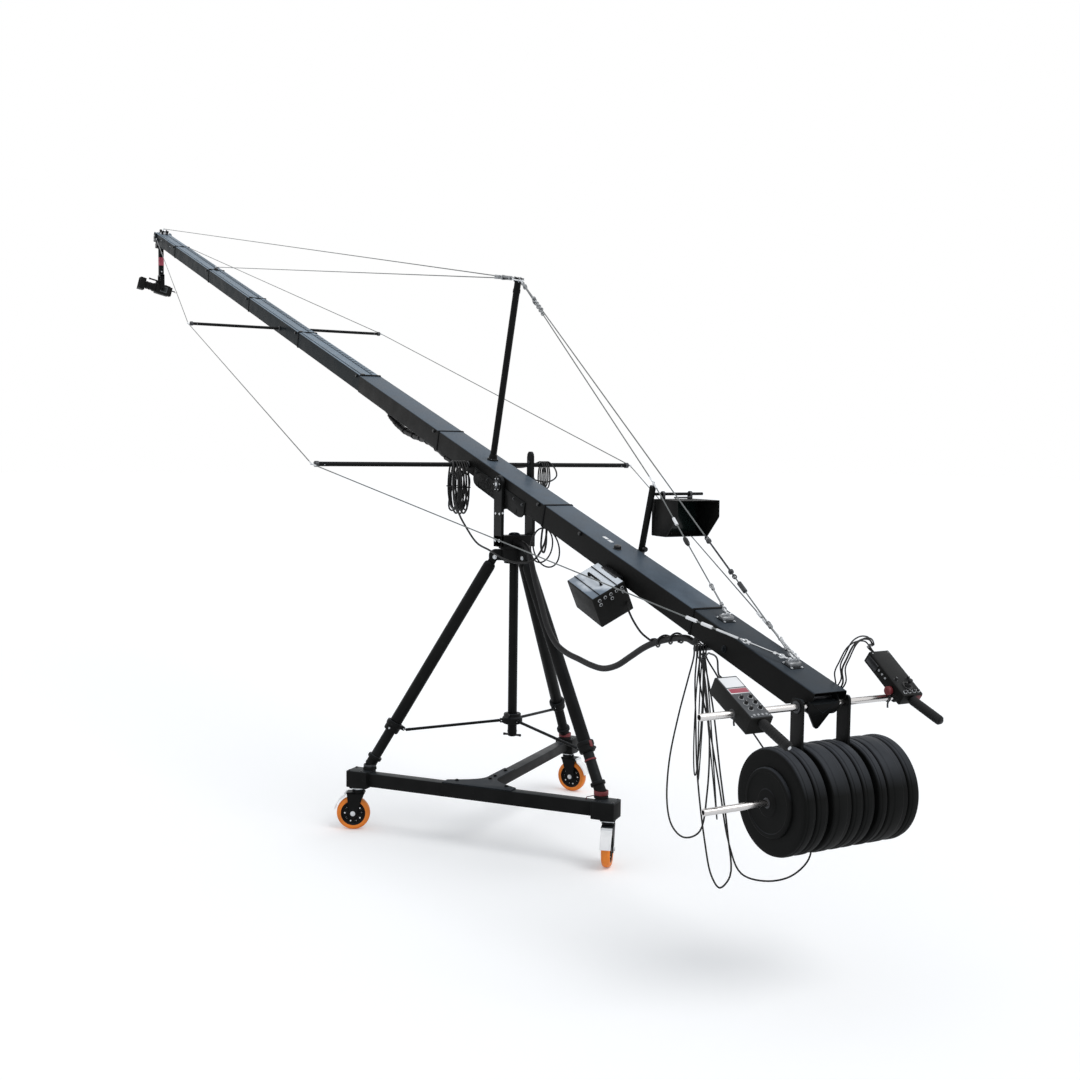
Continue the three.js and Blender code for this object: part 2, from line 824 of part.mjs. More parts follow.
function brakePedal() {
  const near = wheelRadius + pedalClearance;
  const [low, high] = [rad(pedalLowAngle), rad(pedalHighAngle)];
  const arc = new THREE.Shape();
  arc.absarc(0, 0, near, low, high, false);
  arc.lineTo(pedalPinX - casterTrail, pedalPinZ - wheelRadius);
  arc.lineTo(pedalPinX - casterTrail + pedalThickness, pedalPinZ - wheelRadius);
  arc.absarc(0, 0, near + pedalThickness, high, low, true);
  const half = pedalWidth / 2;
  const guard = sidePlate(arc, -half, half, smallSides).translate(casterTrail, 0, wheelRadius);
  const pin = rod(V(pedalPinX, -half, pedalPinZ), V(pedalPinX, half, pedalPinZ), pedalPinRadius, smallSides);
  return join([guard, pin]);
}

for (const { side, turn, heading } of casters) {
  const azimuth = rad(tailAzimuth + turn * legSpread);
  const stand = groupAt(casterCircle * Math.cos(azimuth), casterCircle * Math.sin(azimuth), 0);
  stand.rotation.z = rad(heading);
  piece(`caster_fork_${side}`, framePaint, casterFork(), stand);
  piece(`caster_wheel_${side}`, orangeTyre, casterWheel(), stand);
  piece(`brake_pedal_${side}`, bright, brakePedal(), stand);
}

// Yoke: turns on the crown and carries the boom's trunnions
const yokeInner = yokeGap / 2;
const yokeOuter = yokeInner + yokePlateThickness;
const yokeBase = crownTop + seatGap;
const yokeBlockTop = yokeBase + yokeBaseThickness + yokeBlockHeight;

function yokePlate(y0, y1, upright) {
  const half = yokePlateWidth / 2;
  const round = brakeUprightWidth / 2;
  const meet = Math.acos(round / yokeHeadRadius);
  const shape = new THREE.Shape();
  shape.moveTo(-half, yokeBase + yokeBaseThickness / 2);
  shape.lineTo(half, yokeBase + yokeBaseThickness / 2);
  shape.lineTo(half, tiltHeight);
  if (upright) {
    shape.absarc(0, tiltHeight, yokeHeadRadius, 0, meet, false);
    shape.absarc(0, brakeUprightTop - round, round, 0, Math.PI, false);
    shape.absarc(0, tiltHeight, yokeHeadRadius, Math.PI - meet, Math.PI, false);
  } else {
    shape.absarc(0, tiltHeight, yokeHeadRadius, 0, Math.PI, false);
  }
  shape.lineTo(-half, tiltHeight);
  return sidePlate(shape, y0, y1);
}

function yoke() {
  const base = yokeBase + yokeBaseThickness;
  const half = yokePlateWidth / 2;
  const parts = [
    turned([[0, crownTop - spindleLength], [spindleRadius, crownTop - spindleLength], [spindleRadius, yokeBase],
      [yokeBaseRadius, yokeBase], [yokeBaseRadius, base], [0, base]]),
    block(-half, half, -yokeOuter, yokeOuter, base - overrun, yokeBlockTop),
    turned([[0, yokeBlockTop - overrun], [yokeDomeRadius, yokeBlockTop - overrun], [yokeDomeRadius, yokeBlockTop + yokeDomeHeight * 0.3],
      [yokeDomeRadius * 0.8, yokeBlockTop + yokeDomeHeight * 0.7], [0, yokeBlockTop + yokeDomeHeight]]),
    yokePlate(yokeInner, yokeOuter, false),
    yokePlate(-yokeOuter, -yokeInner, true),
  ];
  const reach = yokeOuter + overrun;
  const bore = rod(V(0, -reach, tiltHeight), V(0, reach, tiltHeight), boreFor(trunnionRadius));
  return carve(join(parts), [bore]);
}
piece('yoke', framePaint, yoke(), crane);

// Boom frame: origin on the tilt axis, +X along the boom
const boom = groupAt(0, 0, tiltHeight);
boom.rotation.y = -rad(boomPitch);
const boomBottom = boomTop - boomDepth;
const frontJoint = rearJoint + sectionCount * sectionLength;
const tipEnd = frontJoint + tipLength;

function onBoom(x, y, z) {
  return V(x, y, z).applyEuler(new THREE.Euler(0, -rad(boomPitch), 0)).add(V(0, 0, tiltHeight));
}

function boxProfile(half, top, bottom, ribbed) {
  if (!ribbed) return [[-half, bottom], [half, bottom], [half, top], [-half, top]];
  const outer = half - ribInset;
  const inner = outer - ribWidth;
  return [[-half, bottom], [half, bottom], [half, top], [outer, top + ribRise], [inner, top + ribRise],
    [inner, top], [-inner, top], [-inner, top + ribRise], [-outer, top + ribRise], [-half, top]];
}

function section(start, end, half, ribbed) {
  const [low, high] = [start + seatGap / 2, end - seatGap / 2];
  const bottom = boomBottom;
  const parts = [
    crossPlate(boxProfile(half, boomTop, bottom, ribbed), low, high),
    block(low, low + collarLength, -half - collarRise, half + collarRise, bottom - collarRise, boomTop + collarRise + (ribbed ? ribRise : 0)),
  ];
  const boltZ = boomTop - boltDrop;
  const [leftBolt, rightBolt] = start === rearJoint ? [rearBoltPlaces.left, rearBoltPlaces.right] : [start + boltSetback, start + boltSetback];
  parts.push(rod(V(leftBolt, half - overrun, boltZ), V(leftBolt, half + boltHeight, boltZ), boltRadius, smallSides));
  parts.push(rod(V(rightBolt, -half + overrun, boltZ), V(rightBolt, -half - boltHeight, boltZ), boltRadius, smallSides));
  const hollow = half - boomWall;
  return carve(join(parts), [block(low - overrun, high + overrun, -hollow, hollow, bottom + boomWall, boomTop - boomWall)]);
}

function crossBore(x, radius) {
  const z = boomTop - outriggerDrop;
  const reach = boomHalfWidth * 2;
  return rod(V(x, -reach, z), V(x, reach, z), radius + runningGap, smallSides);
}

function anchorBlock(x) {
  return block(x - anchorLength / 2, x + anchorLength / 2, -anchorWidth / 2, anchorWidth / 2, boomTop - boomWall / 2, boomTop + anchorHeight);
}

// Tail section: its end is cut back below a short lip, and a hook under it carries the control cables
const tailEnd = rearJoint - tailLength;
const hookHeight = boomBottom - hookClearance - hookRadius;

function tailSection() {
  const start = rearJoint - seatGap / 2;
  const half = boomHalfWidth;
  const tube = block(tailEnd, start, -half, half, boomBottom, boomTop);
  const hollow = block(tailEnd - overrun, start + overrun, -half + boomWall, half - boomWall, boomBottom + boomWall, boomTop - boomWall);
  const cutTop = boomTop - tailLipDepth;
  const cutEnd = tailEnd + tailCutLength;
  const below = boomBottom - overrun;
  const slant = (cutTop - boomBottom) / tailCutLength;
  const wedge = sidePlate([[tailEnd - overrun, below], [cutEnd + overrun / slant, below], [tailEnd, cutTop], [tailEnd - overrun, cutTop]],
    -half - overrun, half + overrun);
  const stem = block(hookPlace - hookRadius, hookPlace + hookRadius, hookStart, hookStart + hookStemLength, hookHeight, boomBottom + boomWall / 2);
  const hook = rod(V(hookPlace, hookStart, hookHeight), V(hookPlace, hookEnd, hookHeight), hookRadius, roundSides);
  const shell = carve(tube, [hollow, wedge]);
  const bolt = rod(V(tailBoltPlace, half - overrun, tailBoltHeight), V(tailBoltPlace, half + boltHeight, tailBoltHeight), tailBoltRadius);
  return join([shell, anchorBlock(frontAnchorPlace), anchorBlock(rearAnchorPlace), stem, hook, bolt]);
}
piece('boom_tail', boomPaint, tailSection(), boom);

for (let i = 0; i < sectionCount; i++) {
  const start = rearJoint + i * sectionLength;
  const front = i >= 3;
  let shape = section(start, start + sectionLength, front ? frontHalfWidth : boomHalfWidth, front);
  const holds = (x) => x > start && x < start + sectionLength;
  if (holds(topKnobPlace)) {
    const foot = V(topKnobPlace, topKnobY, boomTop - boomWall / 2);
    shape = join([shape, rod(foot, foot.clone().setZ(boomTop + topKnobHeight), topKnobRadius)]);
  }
  if (holds(rearOutriggerPlace)) shape = carve(shape, [crossBore(rearOutriggerPlace, rearOutriggerRadius)]);
  if (holds(frontOutriggerPlace)) shape = carve(shape, [crossBore(frontOutriggerPlace, frontOutriggerRadius)]);
  if (holds(midLugPlace)) {
    const half = tipLugLength / 2;
    shape = join([shape, block(midLugPlace - half, midLugPlace + half, -tipLugWidth / 2, tipLugWidth / 2, boomTop - boomWall / 2, boomTop + anchorHeight)]);
  }
  piece(`boom_section_${i + 1}`, boomPaint, shape, boom);
}

// Tip section: lugs for the wires, and two ears that hold the head's levelling drum
const earOuter = drumLength / 2 + runningGap + tipEarThickness;

function tipSection() {
  const half = frontHalfWidth;
  const tube = section(frontJoint, tipEnd, half, true);
  const plugLength = collarLength * 2;
  const plug = block(tipEnd - plugLength, tipEnd - seatGap / 2, -half, half, boomBottom, boomTop);
  const lug = block(tipLugPlace - tipLugLength / 2, tipLugPlace + tipLugLength / 2, -tipLugWidth / 2, tipLugWidth / 2,
    boomTop - boomWall / 2, boomTop + tipLugHeight);
  const wedge = sidePlate([[tipEnd - tipCutLength, boomBottom - overrun], [tipEnd + overrun, boomBottom - overrun],
    [tipEnd + overrun, boomBottom + tipCutRise], [tipEnd, boomBottom + tipCutRise]], -half - overrun, half + overrun);
  const shell = carve(join([tube, plug]), [wedge]);
  const parts = [lug];
  for (const way of [-1, 1]) {
    const [near, far] = [way * (half - boomWall / 2), way * (half + sideLugReach)];
    const [low, high] = [Math.min(near, far), Math.max(near, far)];
    parts.push(block(sideLugPlace - tipLugLength / 2, sideLugPlace + tipLugLength / 2, low, high, headPivotHeight - sideLugHeight, headPivotHeight));
    const inner = way * (drumLength / 2 + runningGap);
    const [earLow, earHigh] = [Math.min(inner, way * earOuter), Math.max(inner, way * earOuter)];
    parts.push(block(tipEnd - plugLength, headPivotPlace + drumPinRadius * 2, earLow, earHigh,
      headPivotHeight - tipEarHeight / 2, headPivotHeight + tipEarHeight / 2));
  }
  const reach = earOuter + overrun;
  const bore = rod(V(headPivotPlace, -reach, headPivotHeight), V(headPivotPlace, reach, headPivotHeight), boreFor(drumPinRadius));
  const drumRoom = rod(V(headPivotPlace, -earOuter, headPivotHeight), V(headPivotPlace, earOuter, headPivotHeight), boreFor(drumRadius) + runningGap);
  const pocket = keepInside(drumRoom, block(0, tipEnd * 2, -drumLength / 2 - runningGap, drumLength / 2 + runningGap, boomBottom * 2, boomTop * 2));
  return carve(join([shell, ...parts]), [bore, pocket]);
}
piece('boom_tip', boomPaint, tipSection(), boom);

// Cradle: a channel under the boom whose cheeks carry the trunnions
function cradle() {
  const inner = boomHalfWidth + cradleSideGap;
  const outer = inner + cradleWall;
  const low = boomBottom - cradleDepth;
  const side = new THREE.Shape();
  side.moveTo(cradleRear, cradleSideTop);
  side.lineTo(cradleRear, boomBottom);
  side.quadraticCurveTo(cradleRear, low, cradleRear + cradleEndLength, low);
  side.lineTo(cradleFront - cradleEndLength, low);
  side.quadraticCurveTo(cradleFront, low, cradleFront, boomBottom);
  side.lineTo(cradleFront, cradleSideTop);
  const parts = [sidePlate(side, inner, outer, 4), sidePlate(side, -outer, -inner, 4)];
  parts.push(block(cradleRear + cradleEndLength, cradleFront - cradleEndLength, -outer, outer, low, low + cradleWall));
  for (const x of [cradleRear + cradleEndLength, cradleFront - cradleEndLength - cradleRibThickness]) {
    parts.push(block(x, x + cradleRibThickness, -outer, outer, low, boomBottom - seatGap));
  }
  for (const way of [-1, 1]) {
    const boss = (from, to, r) => rod(V(0, way * from, 0), V(0, way * to, 0), r);
    parts.push(boss(inner, outer, trunnionBossRadius), boss(inner, yokeOuter + trunnionStub, trunnionRadius));
  }
  return join(parts);
}
piece('tilt_cradle', boomPaint, cradle(), boom);

// Masts
function mainMast() {
  const foot = boomTop + seatGap;
  const rise = foot + mastFlangeThickness;
  return turned([[0, foot], [mastFlangeRadius, foot], [mastFlangeRadius, rise], [mastRadius, rise],
    [mastRadius, mastTop], [mastCapRadius, mastTop], [mastCapRadius, mastTop + mastCapHeight], [0, mastTop + mastCapHeight]])
    .translate(mastPlace, 0, 0);
}
piece('main_mast', framePaint, mainMast(), boom);

const smallMastY = -(boomHalfWidth + seatGap + smallMastRadius);
const railHeight = smallMastTop - railDrop;

function smallMast() {
  const mast = rod(V(smallMastPlace, smallMastY, smallMastFoot), V(smallMastPlace, smallMastY, smallMastTop), smallMastRadius);
  const rail = rod(V(smallMastPlace, smallMastY, railHeight), V(smallMastPlace, smallMastY - railReach, railHeight), railRadius);
  const knobHeight = boomTop + smallMastKnobRadius;
  const knob = rod(V(smallMastPlace, smallMastY, knobHeight), V(smallMastPlace - smallMastRadius - smallMastKnobLength, smallMastY, knobHeight),
    smallMastKnobRadius, smallSides);
  const pin = rod(V(smallMastPlace, smallMastY, smallMastTop - overrun), V(smallMastPlace, smallMastY, smallMastTop + eyePin),
    eyePinRadius, smallSides);
  return join([mast, rail, knob, pin]);
}
piece('small_mast', framePaint, smallMast(), boom);

// Outriggers
const outriggerHeight = boomTop - outriggerDrop;

function outrigger(x, half, radius) {
  const bar = rod(V(x, -half, outriggerHeight), V(x, half, outriggerHeight), radius, smallSides);
  const tips = [-1, 1].map((way) => rod(V(x, way * (half - outriggerTipLength), outriggerHeight),
    V(x, way * half, outriggerHeight), outriggerTipRadius, smallSides));
  const reach = half + eyePin;
  const pin = rod(V(x, -reach, outriggerHeight), V(x, reach, outriggerHeight), eyePinRadius, smallSides);
  return join([bar, ...tips, pin]);
}
piece('outrigger_rear', framePaint, outrigger(rearOutriggerPlace, rearOutriggerHalf, rearOutriggerRadius), boom);
piece('outrigger_front', framePaint, outrigger(frontOutriggerPlace, frontOutriggerHalf, frontOutriggerRadius), boom);

// Stay wires: straight stretches with an eye at every bend, and a turnbuckle near each anchor
function wireParts(points, normals, buckled) {
  const parts = [];
  for (let i = 0; i + 1 < points.length; i++) parts.push(rod(points[i], points[i + 1], wireRadius, loopSides));
  points.forEach((point, i) => {
    const normal = normals[i].clone().multiplyScalar(wireEndRadius);
    parts.push(rod(point.clone().sub(normal), point.clone().add(normal), wireEyeRadius, smallSides));
  });
  if (buckled) {
    const [end, before] = points.slice(-2).reverse();
    const back = before.clone().sub(end).normalize();
    const near = end.clone().addScaledVector(back, turnbuckleLength);
    parts.push(rod(near, near.clone().addScaledVector(back, turnbuckleLength), turnbuckleRadius, smallSides));
  }
  return parts;
}

const eyeSeat = wireEndRadius + seatGap;
const anchorEye = boomTop + anchorHeight + eyeSeat;
const sideStep = anchorWidth / 3;
const ringHeight = mastTop + mastCapHeight / 2;
const ringRadius = mastCapRadius + eyeSeat;
const mastFront = V(mastPlace + ringRadius, 0, ringHeight);
const mastRear = V(mastPlace - ringRadius, 0, ringHeight);
const smallMastEye = V(smallMastPlace, smallMastY, smallMastTop + eyePin + eyeSeat);

function stayWires() {
  const thick = wireRadius * 1.5;
  const parts = [turned([[ringRadius - thick, ringHeight], [ringRadius, ringHeight - thick], [ringRadius + thick, ringHeight],
    [ringRadius, ringHeight + thick], [ringRadius - thick, ringHeight]]).translate(mastPlace, 0, 0)];
  const up = V(0, 0, 1);
  parts.push(...wireParts([mastFront, V(midLugPlace, 0, anchorEye)], [up, up], false));
  parts.push(...wireParts([mastFront, V(tipLugPlace, 0, boomTop + tipLugHeight + eyeSeat)], [up, up], false));
  parts.push(...wireParts([mastRear, V(rearAnchorPlace, 0, anchorEye)], [up, up], true));
  parts.push(...wireParts([mastRear, smallMastEye, V(frontAnchorPlace, 0, anchorEye)], [up, up, up], true));
  return join(parts);
}

function sideWire(way) {
  const [up, aside] = [V(0, 0, 1), V(0, 1, 0)];
  return join(wireParts([
    V(sideLugPlace, way * (frontHalfWidth + sideLugReach * 0.6), headPivotHeight + eyeSeat),
    V(frontOutriggerPlace, way * (frontOutriggerHalf + eyePin + eyeSeat), outriggerHeight),
    V(rearOutriggerPlace, way * (rearOutriggerHalf + eyePin + eyeSeat), outriggerHeight),
    V(rearAnchorPlace, way * sideStep, anchorEye),
  ], [up, aside, aside, up], true));
}
piece('stay_wires', wireSteel, stayWires(), boom);
piece('side_wire_left', wireSteel, sideWire(1), boom);
piece('side_wire_right', wireSteel, sideWire(-1), boom);

// Handle bar: its cheeks are bolted inside the tail's open end
function handleBar() {
  const bar = rod(V(barPlace, barRight, barHeight), V(barPlace, barLeft, barHeight), barRadius);
  const vee = crossPlate([[-barVeeHalfWidth, barHeight], [0, barHeight - barVeeDepth], [barVeeHalfWidth, barHeight]],
    barPlace - barVeeThickness / 2, barPlace + barVeeThickness / 2);
  const outer = boomHalfWidth - boomWall - seatGap;
  const parts = [bar, vee];
  for (const way of [-1, 1]) {
    const [low, high] = way > 0 ? [outer - barCheekThickness, outer] : [-outer, -outer + barCheekThickness];
    parts.push(block(barPlace - barRadius, barPlace + barCheekLength, low, high, barHeight - barRadius, barHeight - barRadius + barCheekHeight));
  }
  return join(parts);
}
piece('handle_bar', bright, handleBar(), boom);

// Weight hanger: two straps swing on the handle bar and carry the axle
const barPoint = onBoom(barPlace, 0, barHeight);
const hanger = groupAt(barPoint.x, 0, barPoint.z);
const strapInner = hangerSpacing / 2 - hangerStrapThickness / 2;
const strapOuter = hangerSpacing / 2 + hangerStrapThickness / 2;

function weightHanger() {
  const half = hangerStrapWidth / 2;
  const parts = [rod(V(0, axleRodRight, -hangerDrop), V(0, axleRodLeft, -hangerDrop), axleRodRadius)];
  for (const low of [strapInner, -strapOuter]) {
    parts.push(block(-half, half, low, low + hangerStrapThickness, -hangerDrop - hangerTopRise, hangerTopRise));
  }
  const bore = rod(V(0, -strapOuter - overrun, 0), V(0, strapOuter + overrun, 0), boreFor(barRadius));
  return carve(join(parts), [bore]);
}
piece('weight_hanger', framePaint, weightHanger(), hanger);

// Weight plates: each stack is turned with a groove between its plates
function plateStack(start, widths, disc) {
  const bore = boreFor(axleRodRadius);
  const outline = [[bore, start]];
  let place = start;
  for (const width of widths) {
    outline.push([plateRadius - plateEdge, place], [plateRadius, place + plateEdge],
      [plateRadius, place + width - plateEdge], [plateRadius - plateEdge, place + width]);
    place += width;
  }
  if (disc) {
    outline.push([plateDiscRadius + plateDiscRise, place], [plateDiscRadius, place + plateDiscRise]);
    place += plateDiscRise;
  }
  outline.push([bore, place], [bore, start]);
  const stack = turned(outline, plateSides).rotateX(-Math.PI / 2);
  return stack.translate(0, 0, -hangerDrop);
}
const total = (widths) => widths.reduce((sum, width) => sum + width, 0);
piece('weight_plates_left', plateRubber, plateStack(strapOuter + plateSideGap, leftPlates, true), hanger);
piece('weight_plates_middle', plateRubber, plateStack(-total(middlePlates) / 2, middlePlates, false), hanger);
piece('weight_plates_right', plateRubber, plateStack(-strapOuter - plateSideGap - total(rightPlates), rightPlates, false), hanger);

// Controllers: each hangs on the bar by a clamp; +X runs up the box, +Z out of its panel
function controller({ slope, rise, thickness, middle, front, rear, gripSlope }) {
  const half = controllerWidth / 2;
  const under = rise - thickness;
  const clampRadius = barRadius + clampWall;
  const clampHalf = clampWidth / 2;
  const parts = [block(-rear, front, -half, half, under, rise)];
  parts.push(block(-clampRadius, clampRadius, -clampHalf, clampHalf, -clampRadius, Math.max(under, 0) + overrun));
  const root = V(-rear + overrun, 0, middle);
  const lean = rad(gripSlope - slope);
  const way = V(-Math.cos(lean), 0, -Math.sin(lean));
  const tip = root.clone().addScaledVector(way, gripLength);
  parts.push(rod(root, tip, gripRadius));
  parts.push(rod(tip.clone().addScaledVector(way, -overrun), tip.clone().addScaledVector(way, gripCapLength), gripCapRadius));
  const bore = rod(V(0, -half - overrun, 0), V(0, half + overrun, 0), boreFor(barRadius));
  return carve(join(parts), [bore]);
}

const controllerFrames = {};
for (const spec of controllers) {
  const frame = groupAt(barPoint.x, spec.centre, barPoint.z);
  frame.rotation.y = -rad(spec.slope);
  controllerFrames[spec.side] = { frame, spec };
  let body = controller(spec);
  if (spec.side === 'right') {
    const x = -spec.rear + (1 - joystickPlaceShare) * (spec.front + spec.rear) / 2;
    const socket = rod(V(x, 0, spec.rise - joystickSocketRadius), V(x, 0, spec.rise + overrun), joystickSocketRadius);
    body = carve(body, [socket]);
    const foot = spec.rise - joystickSocketRadius + seatGap;
    const stick = join([ball(V(x, 0, foot + joystickKnobRadius), joystickKnobRadius),
      rod(V(x, 0, foot + joystickKnobRadius), V(x, 0, foot + joystickLength + joystickKnobRadius), joystickRadius, smallSides),
      ball(V(x, 0, foot + joystickLength + joystickKnobRadius), joystickKnobRadius)]);
    piece('joystick', caseBlack, stick, frame);
  }
  piece(`controller_${spec.side}`, caseBlack, body, frame);
}

// Power box: rolled outwards on a bracket at the boom's left side
function powerBox() {
  const box = block(-boxLength, 0, -boxWidth, 0, -boxHeight, 0);
  const middle = -boxLength / 2;
  const handleY = -boxWidth / 2;
  const [from, to] = [middle - boxHandleLength / 2, middle + boxHandleLength / 2];
  const handle = [
    rod(V(from, handleY, -overrun), V(from, handleY, boxHandleRise), boxHandleRadius, smallSides),
    rod(V(to, handleY, -overrun), V(to, handleY, boxHandleRise), boxHandleRadius, smallSides),
    rod(V(from - boxHandleRadius, handleY, boxHandleRise), V(to + boxHandleRadius, handleY, boxHandleRise), boxHandleRadius, smallSides),
  ];
  const rolled = join([box, ...handle]).rotateX(-rad(boxRoll)).translate(boxPlace, boxOuterY, boxOuterZ);
  const bracketX = boxPlace - boxLength / 2;
  const wallY = boomHalfWidth + seatGap;
  const bracket = block(bracketX - boxBracketLength / 2, bracketX + boxBracketLength / 2, wallY, wallY + boxBracketHeight,
    boomBottom, boomBottom + boxBracketHeight);
  return join([rolled, bracket]);
}
piece('power_box', caseBlack, powerBox(), boom);

// Monitor: hangs from the small mast's rail, with a hood towards the operator
const railPoint = onBoom(smallMastPlace, smallMastY, railHeight);
const monitorFrame = groupAt(railPoint.x, smallMastY, railPoint.z);

function monitor() {
  const top = -monitorEarDrop;
  const bottom = top - monitorHeight;
  const [left, right] = [-monitorSideStart, -monitorSideStart - monitorWidth];
  const [screen, back] = [monitorForward - monitorThickness, monitorForward];
  const outline = [[back, bottom], [back, top], [screen - monitorHood, top], [screen - monitorHood, top - monitorHeight * 0.45],
    [screen - monitorHoodLower, bottom]];
  const shell = sidePlate(outline, right, left);
  const inside = sidePlate([[screen, bottom + hoodWall], [screen, top - hoodWall], [screen - monitorHood - overrun, top - hoodWall],
    [screen - monitorHood - overrun, bottom + hoodWall]], right + hoodWall, left - hoodWall);
  const parts = [carve(shell, [inside])];
  const middle = (left + right) / 2;
  for (const way of [-1, 1]) {
    const y = middle + (way * monitorEarSpread) / 2;
    parts.push(block(-monitorEarLength / 2, monitorEarLength / 2, y - monitorEarWidth / 2, y + monitorEarWidth / 2, top - hoodWall / 2, railRadius * 2));
  }
  const bore = rod(V(0, right - overrun, 0), V(0, left + overrun, 0), boreFor(railRadius));
  return carve(join(parts), [bore]);
}
piece('monitor', caseBlack, monitor(), monitorFrame);

// Camera head: a levelling drum at the tip, a panning post and a tilting camera
const headPoint = onBoom(headPivotPlace, 0, headPivotHeight);
const head = groupAt(headPoint.x, 0, headPoint.z);

function headMount() {
  const half = drumLength / 2;
  const drum = rod(V(0, -half, 0), V(0, half, 0), drumRadius);
  const pin = rod(V(0, -earOuter, 0), V(0, earOuter, 0), drumPinRadius);
  const neck = block(-headNeckWidth / 2, headNeckWidth / 2, -half, half, -headMotorDrop - overrun, 0);
  const motor = block(-headMotorRear, headMotorFront, -headMotorWidth / 2, headMotorWidth / 2,
    -headMotorDrop - headMotorHeight, -headMotorDrop);
  return carve(join([drum, pin, neck, motor]), [rod(V(0, 0, -headMotorDrop - headMotorHeight - overrun), V(0, 0, -headMotorDrop - headMotorHeight / 2),
    boreFor(drumPinRadius))]);
}
piece('head_mount', framePaint, headMount(), head);

const forkInside = forkSpan / 2 - forkThickness;

function headPost() {
  const top = postTop - seatGap;
  const half = postWidth / 2;
  const parts = [
    turned([[0, top - postCapHeight], [postCapRadius, top - postCapHeight], [postCapRadius, top], [drumPinRadius, top],
      [drumPinRadius, top + headMotorHeight / 2 - seatGap], [0, top + headMotorHeight / 2 - seatGap]]),
    block(-half, half, -half, half, postBottom, top - postCapHeight / 2),
    block(-forkSpan / 2, forkSpan / 2, -forkDepth / 2, forkDepth / 2, postBottom - forkBarHeight, postBottom + overrun),
  ];
  for (const low of [-forkSpan / 2, forkInside]) {
    parts.push(block(low, low + forkThickness, -forkDepth / 2, forkDepth / 2, cameraAxis - forkDepth / 2, postBottom));
  }
  const bore = rod(V(-forkSpan, 0, cameraAxis), V(forkSpan, 0, cameraAxis), boreFor(cameraStubRadius));
  return carve(join(parts), [bore]);
}
piece('head_post', framePaint, headPost(), head);

const cameraFrame = groupAt(0, 0, cameraAxis, head);
cameraFrame.rotation.x = rad(cameraRest);

function cameraBody() {
  const half = cameraWidth / 2;
  const front = cameraRear + cameraLength;
  const along = (y0, y1, radius, x = 0, z = 0) => rod(V(x, y0, z), V(x, y1, z), radius);
  const lensEnd = front + lensLength;
  const top = cameraHeight / 2;
  const stub = forkSpan / 2;
  const parts = [
    block(-half, half, cameraRear, front, -top, top),
    along(front - overrun, lensEnd, lensRadius),
    along(lensEnd - overrun, lensEnd + lensHoodLength, lensHoodRadius),
    rod(V(-stub, 0, 0), V(stub, 0, 0), cameraStubRadius),
    block(-cameraHandleWidth / 2, cameraHandleWidth / 2, cameraHandleStart, cameraHandleStart + cameraHandleWidth, top - overrun, top + cameraHandleRise),
    block(-cameraHandleWidth / 2, cameraHandleWidth / 2, cameraHandleStart, cameraHandleStart + cameraHandleLength,
      top + cameraHandleRise - cameraHandleWidth / 2, top + cameraHandleRise),
    along(cameraRear - cameraRodLength, cameraRear + overrun, cameraRodRadius, 0, top / 3),
  ];
  return join(parts);
}
piece('camera', caseBlack, cameraBody(), cameraFrame);

// Cables, in the crane's own frame; a coil's turns go round its outrigger
function hankTurns(y, pitch, turns, halfWidth, halfHeight, barR, cableDiameter) {
  const centre = onBoom(rearOutriggerPlace, y, outriggerHeight);
  const top = barR + cableDiameter / 2 + glandGap * 1.5;
  const points = [];
  const perTurn = 12;
  for (let i = 0; i <= turns * perTurn; i++) {
    const angle = (2 * Math.PI * i) / perTurn;
    const turn = i / perTurn;
    const slack = 1 + 0.05 * Math.sin(turn * 2.4);
    const rise = halfHeight * slack;
    const wide = halfWidth * (1 + 0.25 * (1 - Math.cos(angle)) / 2);
    points.push(V(centre.x - wide * Math.sin(angle), y + pitch * turn, centre.z + top - rise + rise * Math.cos(angle)));
  }
  return points;
}

const gland = (x, y, drop) => onBoom(x, y, boomBottom - glandGap - drop);

function headCable() {
  const half = headCableDiameter / 2;
  const under = half + collarRise * 2;
  return [
    gland(2130, 0, 0), gland(2130, 0, 22), gland(2090, 0, 44), gland(2020, 0, 52), gland(1880, 0, 70), gland(1700, 0, 80),
    gland(1500, 5, 62), gland(1340, 15, 34), gland(1180, 30, under), gland(940, 50, under), gland(720, 80, under),
    gland(600, 104, under - 8), onBoom(540, 112, -40),
    ...hankTurns(112, 17, 5, 62, 155, rearOutriggerRadius, headCableDiameter),
    onBoom(400, 220, -40), V(385, 226, 2040), V(335, 215, 1900), V(230, 205, 1800), V(90, 205, 1722), V(-80, 205, 1690),
    V(-230, 195, 1655), V(-350, 160, 1636), V(-450, 110, 1660), V(-495, 70, 1750), V(-478, 45, 1820),
    V(-430, 20, 1842), V(-385, -5, 1810), V(-365, -15, 1740), V(-330, -20, 1690), V(-290, -25, 1712),
    V(-290, -28, 1790), V(-305, -30, 1860), gland(-345, -30, 20), gland(-345, -30, 0),
  ];
}

function rightCoil() {
  const side = -(boomHalfWidth + glandGap);
  return [
    onBoom(580, side, -20), onBoom(580, side - 30, -22), onBoom(560, side - 110, -52), onBoom(530, side - 230, -60),
    onBoom(505, side - 310, -30),
    ...hankTurns(-424, -14, 4, 40, 82, rearOutriggerRadius, coilDiameter),
    onBoom(410, -500, -30), onBoom(375, -500, -70), onBoom(350, -430, -100), onBoom(360, -300, -80), onBoom(385, side - 60, -30),
    onBoom(395, side - 28, -22), onBoom(395, side, -20),
  ];
}

